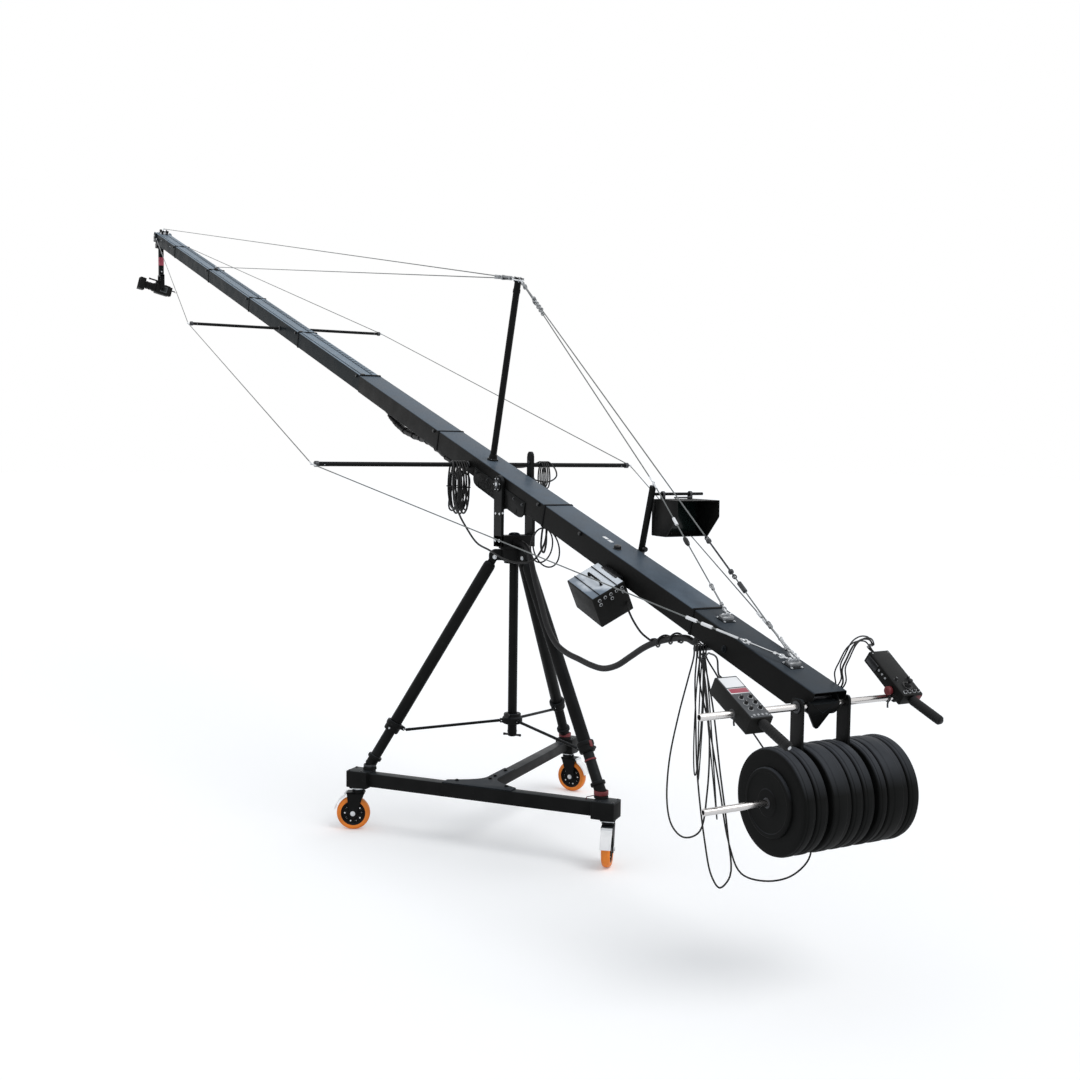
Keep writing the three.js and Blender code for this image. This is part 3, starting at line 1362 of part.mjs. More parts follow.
function harness() {
  return [
    V(-yokePlateWidth / 2 - glandGap * 2, 0, 1730), V(-80, 0, 1730), V(-128, 0, 1720), V(-180, 0, 1690),
    V(-222, 0, 1620), V(-268, 0, 1520), V(-335, 0, 1410), V(-418, 0, 1275), V(-523, 0, 1188), V(-640, 0, 1152),
    V(-780, 0, 1136), V(-920, 0, 1122), V(-1040, 0, 1124), V(-1170, 0, 1160), V(-1297, 0, 1224), V(-1420, 0, 1288),
    V(-1525, 0, 1330), V(-1680, 0, 1372), V(-1800, 0, 1388), gland(-1985, 0, 70), gland(-2000, 0, 34), gland(-2000, 0, 0),
  ];
}

function controllerPoint(side, x, y, z) {
  const { frame } = controllerFrames[side];
  return V(x, y, z).applyEuler(frame.rotation).add(frame.position);
}

// The spare length of the left controller's cable is draped over the hook in three loops
function overHook(y) {
  const round = hookRadius + controlCableDiameter / 2 + glandGap;
  const centre = onBoom(hookPlace, 0, hookHeight);
  const over = [-2, -1, 0, 1, 2].map((step) => {
    const angle = rad(step * hookBend);
    return V(centre.x + round * Math.sin(angle), y - step * hookPitch, centre.z + round * Math.cos(angle));
  });
  const first = over[0].clone().setZ(centre.z - hookFall);
  const last = over[over.length - 1].clone().setZ(centre.z - hookFall);
  return [first, ...over, last];
}

function leftControlCable() {
  const { front, middle } = controllerFrames.left.spec;
  return [
    controllerPoint('left', front + glandGap, 0, middle), controllerPoint('left', front + 40, 0, middle),
    V(-2560, 385, 1425), V(-2420, 320, 1425), V(-2250, 210, 1390), V(-2110, 135, 1345),
    ...overHook(117),
    V(-2025, 150, 1240), V(-2060, 225, 1080), V(-2130, 320, 890), V(-2215, 385, 730), V(-2300, 415, 655), V(-2400, 420, 632),
    V(-2485, 400, 680), V(-2455, 345, 830), V(-2320, 240, 1040), V(-2140, 140, 1260),
    ...overHook(101),
    V(-2035, 118, 1240), V(-2090, 150, 1080), V(-2215, 225, 850), V(-2390, 305, 600), V(-2500, 345, 480), V(-2560, 345, 448),
    V(-2582, 310, 500), V(-2480, 250, 650), V(-2320, 180, 890), V(-2180, 120, 1130), V(-2090, 95, 1280),
    ...overHook(85),
    V(-2025, 84, 1220), V(-2120, 95, 1030), V(-2260, 135, 790), V(-2400, 180, 570), V(-2490, 180, 465), V(-2560, 110, 442),
    V(-2612, 10, 462), V(-2625, -80, 530), V(-2560, -140, 610), V(-2450, -150, 720), V(-2350, -110, 870), V(-2220, -20, 1080),
    V(-2100, 50, 1270),
    ...overHook(69).slice(0, 5),
    V(-2000, 62, 1392), gland(-2075, 55, 18), gland(-2075, 55, 0),
  ];
}

function rightControlCable() {
  const { front, middle } = controllerFrames.right.spec;
  return [
    gland(-2640, -50, 0), gland(-2640, -50, 16), gland(-2665, -78, 26), onBoom(-2720, -103, -80), onBoom(-2800, -103, -40),
    onBoom(-2860, -103, 10), V(-2781, -104, 1326), V(-2772, -106, 1380), V(-2779, -122, 1424), V(-2778, -160, 1480),
    V(-2766, -215, 1500), V(-2756, -265, 1496), V(-2715, -325, 1463),
    controllerPoint('right', front + 50, 0, middle), controllerPoint('right', front + glandGap, 0, middle),
  ];
}

piece('head_cable', cableBlack, cable('head_cable', headCable(), headCableDiameter, loopSides), crane);
piece('right_coil', cableBlack, cable('right_coil', rightCoil(), coilDiameter, loopSides), crane);
piece('harness', cableBlack, cable('harness', harness(), harnessDiameter, cableSides), crane);
piece('left_control_cable', cableBlack, cable('left_control_cable', leftControlCable(), controlCableDiameter, loopSides), crane);
piece('right_control_cable', cableBlack, cable('right_control_cable', rightControlCable(), controlCableDiameter, cableSides), crane);

// The origin lies on the floor, under the middle of everything but the loose cables
const loose = ['head_cable', 'right_coil', 'harness', 'left_control_cable', 'right_control_cable'];
crane.updateMatrixWorld(true);
const reach = new THREE.Box3();
crane.traverse((object) => {
  if (object.isMesh && !loose.includes(object.name)) reach.expandByObject(object, true);
});
const middle = reach.getCenter(V(0, 0, 0));
crane.position.set(-middle.x, -middle.y, -reach.min.z);

export default crane;
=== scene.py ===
import math
import bmesh
import bpy
from mathutils import Matrix, Vector


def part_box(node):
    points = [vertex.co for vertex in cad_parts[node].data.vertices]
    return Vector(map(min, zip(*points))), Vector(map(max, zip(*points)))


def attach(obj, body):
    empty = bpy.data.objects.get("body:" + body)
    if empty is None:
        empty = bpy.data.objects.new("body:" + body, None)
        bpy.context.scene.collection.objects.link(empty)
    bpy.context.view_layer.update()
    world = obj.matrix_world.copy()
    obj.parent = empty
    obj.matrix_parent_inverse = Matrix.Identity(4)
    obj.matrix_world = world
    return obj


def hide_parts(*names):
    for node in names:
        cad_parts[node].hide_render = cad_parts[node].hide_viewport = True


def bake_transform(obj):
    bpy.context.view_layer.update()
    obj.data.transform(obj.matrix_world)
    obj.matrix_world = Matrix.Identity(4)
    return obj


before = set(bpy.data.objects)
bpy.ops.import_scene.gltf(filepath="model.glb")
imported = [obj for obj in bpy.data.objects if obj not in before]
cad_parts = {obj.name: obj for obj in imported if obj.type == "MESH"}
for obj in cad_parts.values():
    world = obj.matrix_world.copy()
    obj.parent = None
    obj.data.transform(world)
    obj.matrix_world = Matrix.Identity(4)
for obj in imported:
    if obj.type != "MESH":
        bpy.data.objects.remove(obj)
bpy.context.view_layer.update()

# Everything here is written in millimetres in a part's own frame, and set in metres
MM = 0.001
SHARP_ANGLE = 32
column_low, column_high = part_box("center_column")
PAN_X = (column_low[0] + column_high[0]) / 2


def turn_x(degrees):
    return Matrix.Rotation(math.radians(degrees), 4, "X")


def turn_y(degrees):
    return Matrix.Rotation(math.radians(degrees), 4, "Y")


def turn_z(degrees):
    return Matrix.Rotation(math.radians(degrees), 4, "Z")


def shift(x, y, z):
    return Matrix.Translation(Vector((x, y, z)) * MM)


# The frames that the CAD model is built in
TILT_HEIGHT = 2075
BOOM_PITCH = 16.27
TAIL_AZIMUTH = -52.06
CASTER_CIRCLE = 920
SIDES = {"left": (1, 61), "rear": (2, 141), "right": (0, 211)}
WORLD = Matrix.Translation((PAN_X, 0, 0))
DOLLY = WORLD @ turn_z(TAIL_AZIMUTH)
BOOM = WORLD @ shift(0, 0, TILT_HEIGHT) @ turn_y(-BOOM_PITCH)
BOOM_TOP = 50.9
BOOM_BOTTOM = BOOM_TOP - 125
BOOM_HALF = 88
FRONT_HALF = 79
REAR_JOINT = -2048
SECTION = 1500
FRONT_JOINT = REAR_JOINT + 7 * SECTION
TIP_END = FRONT_JOINT + 1043
TAIL_END = REAR_JOINT - 882


def at_point(x, y, z, parent=BOOM):
    return Matrix.Translation(parent @ (Vector((x, y, z)) * MM))


BAR = (-2891, 0, -26)
BAR_ENDS = (-490, 622)
AXLE_DROP = 385
AXLE_ENDS = (-392, 593)
SMALL_MAST = (-1262, -105.3)
RAIL_HEIGHT = 356
HEAD_PIVOT = (9532, 0, -12)
CAMERA_DROP = 610
HANGER = at_point(*BAR)
MONITOR = at_point(*SMALL_MAST, RAIL_HEIGHT)
HEAD = at_point(*HEAD_PIVOT)
CAMERA = HEAD @ shift(0, 0, -CAMERA_DROP) @ turn_x(14)

# Where the stay wires and the outriggers are fixed on the boom
REAR_ANCHOR = -2673
FRONT_ANCHOR = -2175
MID_LUG = 6990
SIDE_LUG = 9350
TIP_LUG = 9400
OUTRIGGER_PLACE = 470
OUTRIGGER_HALF = 1092
OUTRIGGER_HEIGHT = BOOM_TOP - 76
FRONT_OUTRIGGER_PLACE = 4481
FRONT_OUTRIGGER_HALF = 860


def caster_frame(side):
    turn, heading = SIDES[side]
    angle = math.radians(TAIL_AZIMUTH + 120 * turn)
    x, y = CASTER_CIRCLE * math.cos(angle), CASTER_CIRCLE * math.sin(angle)
    return WORLD @ shift(x, y, 0) @ turn_z(heading)


def new_object(name, data):
    made = bpy.data.objects.new(name, data)
    bpy.context.scene.collection.objects.link(made)
    return made


def new_node(tree, kind, **values):
    node = tree.nodes.new("ShaderNode" + kind)
    for socket, value in values.items():
        node.inputs[socket.replace("_", " ")].default_value = value
    return node


# Materials, each with its own grain, uneven gloss and bump; most also carry a painted sheen, a lighter colour
# on their upward-facing faces
finishes = {}


def finish(name, color, roughness, metallic=0.0, specular=0.5, vary=0.25, grain=600.0, bump=0.15, patch=9.0,
           painted_sheen=0.0, painted_sheen_color=(0.3, 0.32, 0.34), stretch=(1, 1, 1), coat=0.0, worn=0.0, patchy_sheen=False):
    material = bpy.data.materials.new(name)
    material.use_nodes = True
    tree = material.node_tree
    links = tree.links
    shader = tree.nodes["Principled BSDF"]
    for socket, value in (("Metallic", metallic), ("Specular IOR Level", specular), ("Coat Weight", coat),
                          ("Coat Roughness", 0.12)):
        shader.inputs[socket].default_value = value
    place = new_node(tree, "TexCoord")
    mapping = new_node(tree, "Mapping", Scale=stretch)
    links.new(place.outputs["Object"], mapping.inputs["Vector"])

    def noise(scale, detail, roughness=0.5):
        node = new_node(tree, "TexNoise", Scale=scale, Detail=detail, Roughness=roughness)
        links.new(mapping.outputs["Vector"], node.inputs["Vector"])
        return node.outputs["Fac"]

    def remap(value, low, high, start=0.3, end=0.7):
        node = new_node(tree, "MapRange", From_Min=start, From_Max=end, To_Min=low, To_Max=high)
        links.new(value, node.inputs["Value"])
        return node.outputs["Result"]

    def blend_color(amount, first, second):
        node = new_node(tree, "Mix")
        node.data_type = "RGBA"
        links.new(amount, node.inputs["Factor"])
        for socket, value in ((node.inputs["A"], first), (node.inputs["B"], second)):
            if hasattr(value, "is_output"):
                links.new(value, socket)
            else:
                socket.default_value = (*value, 1)
        return node.outputs["Result"]

    coarse = noise(patch, 4.0)
    fine = noise(grain, 2.0)
    darker = tuple(c * (1 - vary) for c in color)
    lighter = tuple(min(1.0, c * (1 + vary) + 0.002) for c in color)
    base = blend_color(remap(coarse, 0.0, 1.0), darker, lighter)
    base = blend_color(remap(fine, 0.0, 0.35), base, lighter)
    # Painted sheen: faces that point up are blended toward a lighter colour, standing in for light reflected
    # off the tops
    if painted_sheen:
        split = new_node(tree, "SeparateXYZ")
        links.new(place.outputs["Normal"], split.inputs["Vector"])
        facing = remap(split.outputs["Z"], 0.0, 1.0, 0.25, 0.95)
        amount = new_node(tree, "Math")
        amount.operation = "MULTIPLY"
        links.new(facing, amount.inputs[0])
        # With patches on, the lightening comes in blotches: painted glare in patches rather than an even
        # sheen
        spread = remap(coarse, 0.12, painted_sheen, 0.47, 0.56) if patchy_sheen else remap(coarse, painted_sheen * 0.7, painted_sheen)
        links.new(spread, amount.inputs[1])
        base = blend_color(amount.outputs["Value"], base, painted_sheen_color)
    if worn:
        marks = remap(noise(40.0, 8.0, 0.75), 0.0, worn, 0.62, 0.75)
        base = blend_color(marks, base, (0.35, 0.36, 0.37))
    links.new(base, shader.inputs["Base Color"])
    gloss = remap(coarse, max(0.03, roughness - 0.06), min(1.0, roughness + 0.08))
    links.new(gloss, shader.inputs["Roughness"])
    raised = new_node(tree, "Bump", Strength=bump, Distance=0.0006)
    links.new(fine, raised.inputs["Height"])
    links.new(raised.outputs["Normal"], shader.inputs["Normal"])
    finishes[name] = material


# The boom paint comes in three copies whose upward faces are lightened toward a blue-grey by different
# amounts, a painted sheen standing in for sky reflected at a grazing angle: weakest on the tail, strongest on
# the front sections, whose copy is also bluer
SHEEN = (0.125, 0.16, 0.20)
finish("tail_black_painted_sheen_weak", (0.0042, 0.0042, 0.0040), 0.4, specular=0.05, painted_sheen=0.34, painted_sheen_color=SHEEN,
       bump=0.08, worn=0.05)
finish("boom_black_painted_sheen", (0.0042, 0.0042, 0.0040), 0.4, specular=0.05, painted_sheen=0.82, painted_sheen_color=SHEEN,
       bump=0.08, worn=0.05)
finish("front_black_painted_sheen_strong", (0.0085, 0.0125, 0.0150), 0.38, specular=0.024, painted_sheen=0.9,
       painted_sheen_color=(0.26, 0.325, 0.39), bump=0.08)
# The frame and gusset tops get a faint blue painted sheen
finish("frame_black", (0.0046, 0.0048, 0.0048), 0.42, specular=0.08, painted_sheen=0.22,
       painted_sheen_color=(0.07, 0.085, 0.10), worn=0.08)
finish("gusset_gray", (0.008, 0.010, 0.012), 0.5, specular=0.06, painted_sheen=0.22,
       painted_sheen_color=(0.085, 0.105, 0.13), worn=0.08)
finish("seam_black", (0.003, 0.003, 0.0035), 0.6, specular=0.08)
# The plates' tops get a strong painted sheen
finish("plate_rubber", (0.0040, 0.0043, 0.0041), 0.55, specular=0.06, bump=0.3, grain=260.0, painted_sheen=0.7,
       painted_sheen_color=(0.085, 0.092, 0.105))
# The cases get a faint painted sheen on their tops
finish("case_black", (0.0036, 0.0037, 0.0033), 0.48, specular=0.14, bump=0.35, grain=900.0, painted_sheen=0.2,
       painted_sheen_color=(0.05, 0.055, 0.06))
# The box lid: a blue-grey base whose top is lifted to near white in patches, painted glare standing in for
# reflections
finish("case_gloss_painted_glare", (0.12, 0.165, 0.22), 0.2, specular=0.4, vary=0.3, painted_sheen=0.95,
       painted_sheen_color=(0.78, 0.83, 0.88), patch=4.2, patchy_sheen=True)
finish("cable_black", (0.006, 0.006, 0.0065), 0.38, specular=0.25, grain=300.0, bump=0.1)
finish("sleeve_black", (0.006, 0.006, 0.0068), 0.5, specular=0.25, grain=420.0, bump=0.5)
# The tyres' upward faces get a yellowish painted highlight
finish("orange_tyre", (0.74, 0.20, 0.014), 0.32, specular=0.4, vary=0.2, grain=180.0, painted_sheen=0.15,
       painted_sheen_color=(0.9, 0.5, 0.2))
finish("bright_steel", (0.68, 0.66, 0.65), 0.2, metallic=1.0, vary=0.12, stretch=(1, 0.08, 1), bump=0.1)
finish("zinc", (0.62, 0.64, 0.66), 0.3, metallic=0.9, vary=0.18, bump=0.2)
finish("pale_plate", (0.88, 0.88, 0.88), 0.3, metallic=0.1, vary=0.05, bump=0.1)
finish("wire_steel", (0.15, 0.16, 0.16), 0.4, metallic=0.6, vary=0.2, grain=1500.0, bump=0.5)
finish("shackle_steel", (0.24, 0.25, 0.26), 0.3, metallic=0.9, vary=0.5, grain=160.0, bump=0.2)
finish("dark_steel", (0.05, 0.052, 0.056), 0.35, metallic=0.8, vary=0.25)
finish("panel_gray", (0.07, 0.075, 0.082), 0.45, specular=0.3, vary=0.15)
finish("knob_black", (0.006, 0.006, 0.007), 0.3, specular=0.3)
finish("red_strip", (0.33, 0.045, 0.075), 0.4, vary=0.2)
finish("red_dark", (0.13, 0.010, 0.014), 0.5, vary=0.3)
finish("white_face", (0.82, 0.83, 0.84), 0.35, vary=0.04, bump=0.05)
finish("grip_rubber", (0.009, 0.009, 0.0095), 0.6, specular=0.2, bump=0.7, grain=340.0)
finish("screen_dark", (0.005, 0.010, 0.009), 0.12, specular=0.3, bump=0.02)
finish("lens_glass", (0.006, 0.008, 0.014), 0.06, specular=0.7, coat=1.0, bump=0.0)
finish("dial_gray", (0.35, 0.36, 0.37), 0.4, vary=0.1)
finish("foot_rubber", (0.007, 0.007, 0.007), 0.75, specular=0.12, bump=0.4, grain=220.0)


# Rounded forms, each made as a small mesh of its own
def curve(here, before, after, reach, steps):
    start = here + before.normalized() * reach
    end = here + after.normalized() * reach
    shares = [k / steps for k in range(steps + 1)]
    return [start * (1 - u) ** 2 + here * 2 * u * (1 - u) + end * u ** 2 for u in shares]


def soften(points, edge, closed, steps=2):
    out = []
    count = len(points)
    for i, point in enumerate(points):
        here = Vector(point)
        if not closed and i in (0, count - 1):
            out.append(here)
            continue
        before = Vector(points[i - 1]) - here
        after = Vector(points[(i + 1) % count]) - here
        reach = min(edge, before.length * 0.45, after.length * 0.45)
        if reach < 0.01 or abs(math.pi - before.angle(after)) < 0.12:
            out.append(here)
            continue
        out += curve(here, before, after, reach, steps)
    return out


def along(start, end):
    way = Vector(end) - Vector(start)
    return Matrix.Translation(Vector(start)) @ way.to_track_quat("Z", "Y").to_matrix().to_4x4()


def turned(profile, sides=40, edge=1.5, closed=False):
    mesh = bmesh.new()
    rings = []
    for radius, height in soften(profile, edge, closed):
        if radius < 0.01:
            rings.append([mesh.verts.new((0, 0, height))])
            continue
        rings.append([mesh.verts.new((x, y, height)) for x, y in around(sides, radius)])
    pairs = list(zip(rings, rings[1:]))
    if closed:
        pairs.append((rings[-1], rings[0]))
    for first, second in pairs:
        for i in range(sides):
            j = (i + 1) % sides
            corners = ((first, i), (second, i), (second, j), (first, j))
            mesh.faces.new(dict.fromkeys(ring[k % len(ring)] for ring, k in corners))
    bmesh.ops.recalc_face_normals(mesh, faces=mesh.faces)
    return mesh


def rod(start, end, radius, sides=24, edge=1.5):
    length = (Vector(end) - Vector(start)).length
    mesh = turned([(0, 0), (radius, 0), (radius, length), (0, length)], sides, edge)
    mesh.transform(along(start, end))
    return mesh


def spun(start, end, profile, sides=32, edge=1.0, closed=False):
    mesh = turned(profile, sides, edge, closed)
    mesh.transform(along(start, end))
    return mesh


def block(x0, x1, y0, y1, z0, z1, edge=2.0, rounds=2):
    mesh = bmesh.new()
    bmesh.ops.create_cube(mesh, size=1)
    size = Vector((x1 - x0, y1 - y0, z1 - z0))
    middle = Vector((x0 + x1, y0 + y1, z0 + z1)) / 2
    for vert in mesh.verts:
        vert.co = Vector((vert.co.x * size.x, vert.co.y * size.y, vert.co.z * size.z)) + middle
    edge = min(edge, 0.45 * min(abs(s) for s in size))
    bmesh.ops.bevel(mesh, geom=mesh.edges[:], offset=edge, segments=rounds, profile=0.5, affect="EDGES",
                    clamp_overlap=True)
    return mesh


PLANES = {
    "xz": lambda a, b, c: (a, c, b),
    "yz": lambda a, b, c: (c, a, b),
    "xy": lambda a, b, c: (a, b, c),
}


def plate(outline, low, high, plane="xz", corner=0.0, edge=1.0, steps=3):
    outline = soften(outline, corner, True, steps) if corner else [Vector(p) for p in outline]
    place = PLANES[plane]
    mesh = bmesh.new()
    bottom = [mesh.verts.new(place(p[0], p[1], low)) for p in outline]
    top = [mesh.verts.new(place(p[0], p[1], high)) for p in outline]
    count = len(outline)
    lower = mesh.faces.new(bottom)
    upper = mesh.faces.new(top)
    for i in range(count):
        j = (i + 1) % count
        mesh.faces.new((bottom[i], bottom[j], top[j], top[i]))
    rims = list(set(lower.edges[:] + upper.edges[:]))
    if edge:
        bmesh.ops.bevel(mesh, geom=rims, offset=edge, segments=2, profile=0.5, affect="EDGES",
                        clamp_overlap=True)
    bmesh.ops.recalc_face_normals(mesh, faces=mesh.faces)
    return mesh


def arc(cx, cy, radius, start, end, steps=16):
    turns = [math.radians(start + (end - start) * k / steps) for k in range(steps + 1)]
    return [(cx + radius * math.cos(a), cy + radius * math.sin(a)) for a in turns]


def angles(count, start=0.0):
    return [math.radians(start) + 2 * math.pi * k / count for k in range(count)]


def around(count, radius, start=0.0):
    return [(radius * math.cos(angle), radius * math.sin(angle)) for angle in angles(count, start)]


def band(low, high, inner, outer):
    return [(inner, low), (outer, low), (outer, high), (inner, high)]


def span(way, near, far):
    return sorted((way * near, way * far))


def loft(rings, closed_way=False):
    mesh = bmesh.new()
    rows = [[mesh.verts.new(p) for p in ring] for ring in rings]
    pairs = list(zip(rows, rows[1:]))
    if closed_way:
        pairs.append((rows[-1], rows[0]))
    for first, second in pairs:
        count = len(first)
        for i in range(count):
            j = (i + 1) % count
            mesh.faces.new((first[i], first[j], second[j], second[i]))
    if not closed_way:
        mesh.faces.new(rows[0])
        mesh.faces.new(rows[-1])
    bmesh.ops.recalc_face_normals(mesh, faces=mesh.faces)
    return mesh


def sweep(points, radius, sides=12, closed=False):
    points = [Vector(p) for p in points]
    count = len(points)
    rings = []
    normal = None
    for i, point in enumerate(points):
        before = points[i - 1] if i or closed else point
        after = points[(i + 1) % count] if i + 1 < count or closed else point
        tangent = (after - before).normalized()
        if normal is None:
            normal = tangent.orthogonal().normalized()
        normal = (normal - tangent * normal.dot(tangent)).normalized()
        side = tangent.cross(normal)
        rings.append([point + (normal * math.cos(a) + side * math.sin(a)) * radius for a in angles(sides)])
    return loft(rings, closed_way=closed)


def pour(form, mesh):
    part = bpy.data.meshes.new("form")
    form.to_mesh(part)
    form.free()
    mesh.from_mesh(part)
    bpy.data.meshes.remove(part)


class Piece:
    """One object of several rounded forms, in a part's own frame and in millimetres."""

    def __init__(self, name, place, body, *nodes):
        self.name = name
        self.place = place
        self.body = body
        self.nodes = nodes
        self.mesh = bmesh.new()
        self.materials = []

    def add(self, material, *forms, turn=None):
        if material not in self.materials:
            self.materials.append(material)
        index = self.materials.index(material)
        for form in forms:
            if turn is not None:
                form.transform(turn)
            for face in form.faces:
                face.material_index = index
                face.smooth = True
            pour(form, self.mesh)

    def bolt(self, material, at, way, radius=7.0, height=6.0, washer=1.5):
        at = Vector(at)
        way = Vector(way).normalized()
        if washer:
            self.add(material, rod(at, at + way * washer, radius * 1.5, 20, 0.5))
        head = at + way * washer
        self.add(material, rod(head, head + way * height, radius, 6, radius * 0.18))

    def done(self):
        data = bpy.data.meshes.new(self.name)
        spot = Matrix.Translation(self.place.translation)
        self.mesh.transform(spot.inverted() @ self.place @ Matrix.Scale(MM, 4))
        self.mesh.to_mesh(data)
        self.mesh.free()
        for material in self.materials:
            data.materials.append(finishes[material])
        data.set_sharp_from_angle(angle=math.radians(SHARP_ANGLE))
        made = new_object(self.name, data)
        made.matrix_world = spot
        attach(made, self.body)
        if self.nodes:
            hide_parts(*self.nodes)


# The camera stands where the photograph was taken from
CAMERA_PLACE = (-6.932, 3.641, 2.295)
CAMERA_YAW = -28.84
CAMERA_PITCH = -4.04
CAMERA_ROLL = 0.71
FOCAL_PIXELS = 1310
PHOTO_PIXELS = 1080
yaw = math.radians(CAMERA_YAW)
pitch = math.radians(CAMERA_PITCH)
roll = math.radians(CAMERA_ROLL)
ahead = Vector((math.cos(pitch) * math.cos(yaw), math.cos(pitch) * math.sin(yaw), math.sin(pitch)))
right = Vector((math.sin(yaw), -math.cos(yaw), 0))
above = right.cross(ahead)
rolled_right = right * math.cos(roll) + above * math.sin(roll)
rolled_above = above * math.cos(roll) - right * math.sin(roll)
camera_data = bpy.data.cameras.new("photo_camera")
camera_data.sensor_fit = "HORIZONTAL"
camera_data.sensor_width = 36
camera_data.lens = 36 * FOCAL_PIXELS / PHOTO_PIXELS
camera_data.clip_end = 200
camera = new_object("photo_camera", camera_data)
axes = Matrix((rolled_right, rolled_above, -ahead)).transposed().to_4x4()
camera.matrix_world = Matrix.Translation((CAMERA_PLACE[0] + PAN_X, CAMERA_PLACE[1], CAMERA_PLACE[2])) @ axes
bpy.context.scene.camera = camera


# Cables: their routes are the CAD model's own, on the same kind of smooth curve
def route_point(points, i):
    if i < 0:
        return points[0] * 2 - points[1]
    if i >= len(points):
        return points[-1] * 2 - points[-2]
    return points[i]


def smooth_route(points, steps):
    points = [Vector(p) for p in points]
    out = []
    for i in range(len(points) - 1):
        p = [route_point(points, i + k) for k in (-1, 0, 1, 2)]
        gaps = [max((p[k + 1] - p[k]).length_squared ** 0.25, 1e-4) for k in range(3)]
        before, across, after = [(p[k + 1] - p[k]) / gaps[k] for k in range(3)]
        starts = (before - (p[2] - p[0]) / (gaps[0] + gaps[1]) + across) * gaps[1]
        ends = (across - (p[3] - p[1]) / (gaps[1] + gaps[2]) + after) * gaps[1]
        for k in range(steps):
            t = k / steps
            a = p[1] * (2 * t ** 3 - 3 * t ** 2 + 1)
            b = starts * (t ** 3 - 2 * t ** 2 + t)
            c = p[2] * (-2 * t ** 3 + 3 * t ** 2)
            d = ends * (t ** 3 - t ** 2)
            out.append(a + b + c + d)
    out.append(points[-1])
    return out


def on_boom(x, y, z):
    return (WORLD.inverted() @ BOOM @ (Vector((x, y, z)) * MM)) / MM


def gland(x, y, drop):
    return on_boom(x, y, BOOM_BOTTOM - 1 - drop)


def hank_turns(y, step, turns, half_width, half_height, bar_radius, diameter):
    centre = on_boom(OUTRIGGER_PLACE, y, OUTRIGGER_HEIGHT)
    top = bar_radius + diameter / 2 + 1.5
    points = []
    for i in range(turns * 12 + 1):
        angle = 2 * math.pi * i / 12
        turn = i / 12
        rise = half_height * (1 + 0.05 * math.sin(turn * 2.4))
        wide = half_width * (1 + 0.25 * (1 - math.cos(angle)) / 2)
        points.append(Vector((centre.x - wide * math.sin(angle), y + step * turn,
                              centre.z + top - rise + rise * math.cos(angle))))
    return points


def head_cable():
    under = 6 + 8
    points = [gland(2130, 0, 0), gland(2130, 0, 22), gland(2090, 0, 44), gland(2020, 0, 52),
              gland(1880, 0, 70), gland(1700, 0, 80), gland(1500, 5, 62), gland(1340, 15, 34),
              gland(1180, 30, under), gland(940, 50, under), gland(720, 80, under),
              gland(600, 104, under - 8), on_boom(540, 112, -40)]
    points += hank_turns(112, 17, 5, 62, 155, 14, 12)
    points += [on_boom(400, 220, -40)]
    points += [(385, 226, 2040), (335, 215, 1900), (230, 205, 1800), (90, 205, 1722), (-80, 205, 1690),
               (-230, 195, 1655), (-350, 160, 1636), (-450, 110, 1660), (-495, 70, 1750), (-478, 45, 1820),
               (-430, 20, 1842), (-385, -5, 1810), (-365, -15, 1740), (-330, -20, 1690), (-290, -25, 1712),
               (-290, -28, 1790), (-305, -30, 1860)]
    return points + [gland(-345, -30, 20), gland(-345, -30, 0)]


def right_coil():
    side = -(BOOM_HALF + 1)
    points = [on_boom(580, side, -20), on_boom(580, side - 30, -22), on_boom(560, side - 110, -52),
              on_boom(530, side - 230, -60), on_boom(505, side - 310, -30)]
    points += hank_turns(-424, -14, 4, 40, 82, 14, 10)
    return points + [on_boom(410, -500, -30), on_boom(375, -500, -70), on_boom(350, -430, -100),
                     on_boom(360, -300, -80), on_boom(385, side - 60, -30), on_boom(395, side - 28, -22),
                     on_boom(395, side, -20)]


def harness():
    points = [(-52, 0, 1730), (-80, 0, 1730), (-128, 0, 1720), (-180, 0, 1690), (-222, 0, 1620),
              (-268, 0, 1520), (-335, 0, 1410), (-418, 0, 1275), (-523, 0, 1188), (-640, 0, 1152),
              (-780, 0, 1136), (-920, 0, 1122), (-1040, 0, 1124), (-1170, 0, 1160), (-1297, 0, 1224),
              (-1420, 0, 1288), (-1525, 0, 1330), (-1680, 0, 1372), (-1800, 0, 1388)]
    return points + [gland(-1985, 0, 70), gland(-2000, 0, 34), gland(-2000, 0, 0)]


CONTROLLERS = {
    "left": dict(centre=405, slope=27, rise=60, thickness=80, middle=38, front=168, rear=110, grip=21),
    "right": dict(centre=-425, slope=36, rise=78, thickness=58, middle=49, front=204, rear=66, grip=20),
}


def controller_place(side):
    spec = CONTROLLERS[side]
    bar = BOOM @ (Vector(BAR) * MM)
    return Matrix.Translation((bar.x, spec["centre"] * MM, bar.z)) @ turn_y(-spec["slope"])


def controller_point(side, x):
    spec = CONTROLLERS[side]
    point = Vector((x, 0, spec["middle"])) * MM
    return (WORLD.inverted() @ controller_place(side) @ point) / MM


HOOK_PLACE = -2149
HOOK_HEIGHT = BOOM_BOTTOM - 11 - 13


def over_hook(y):
    reach = 13 + 4 + 1
    centre = on_boom(HOOK_PLACE, 0, HOOK_HEIGHT)
    over = []
    for step in (-2, -1, 0, 1, 2):
        angle = math.radians(step * 45)
        over.append(Vector((centre.x + reach * math.sin(angle), y - step * 1.5,
                            centre.z + reach * math.cos(angle))))
    first = Vector((over[0].x, over[0].y, centre.z - 34))
    last = Vector((over[-1].x, over[-1].y, centre.z - 34))
    return [first, *over, last]


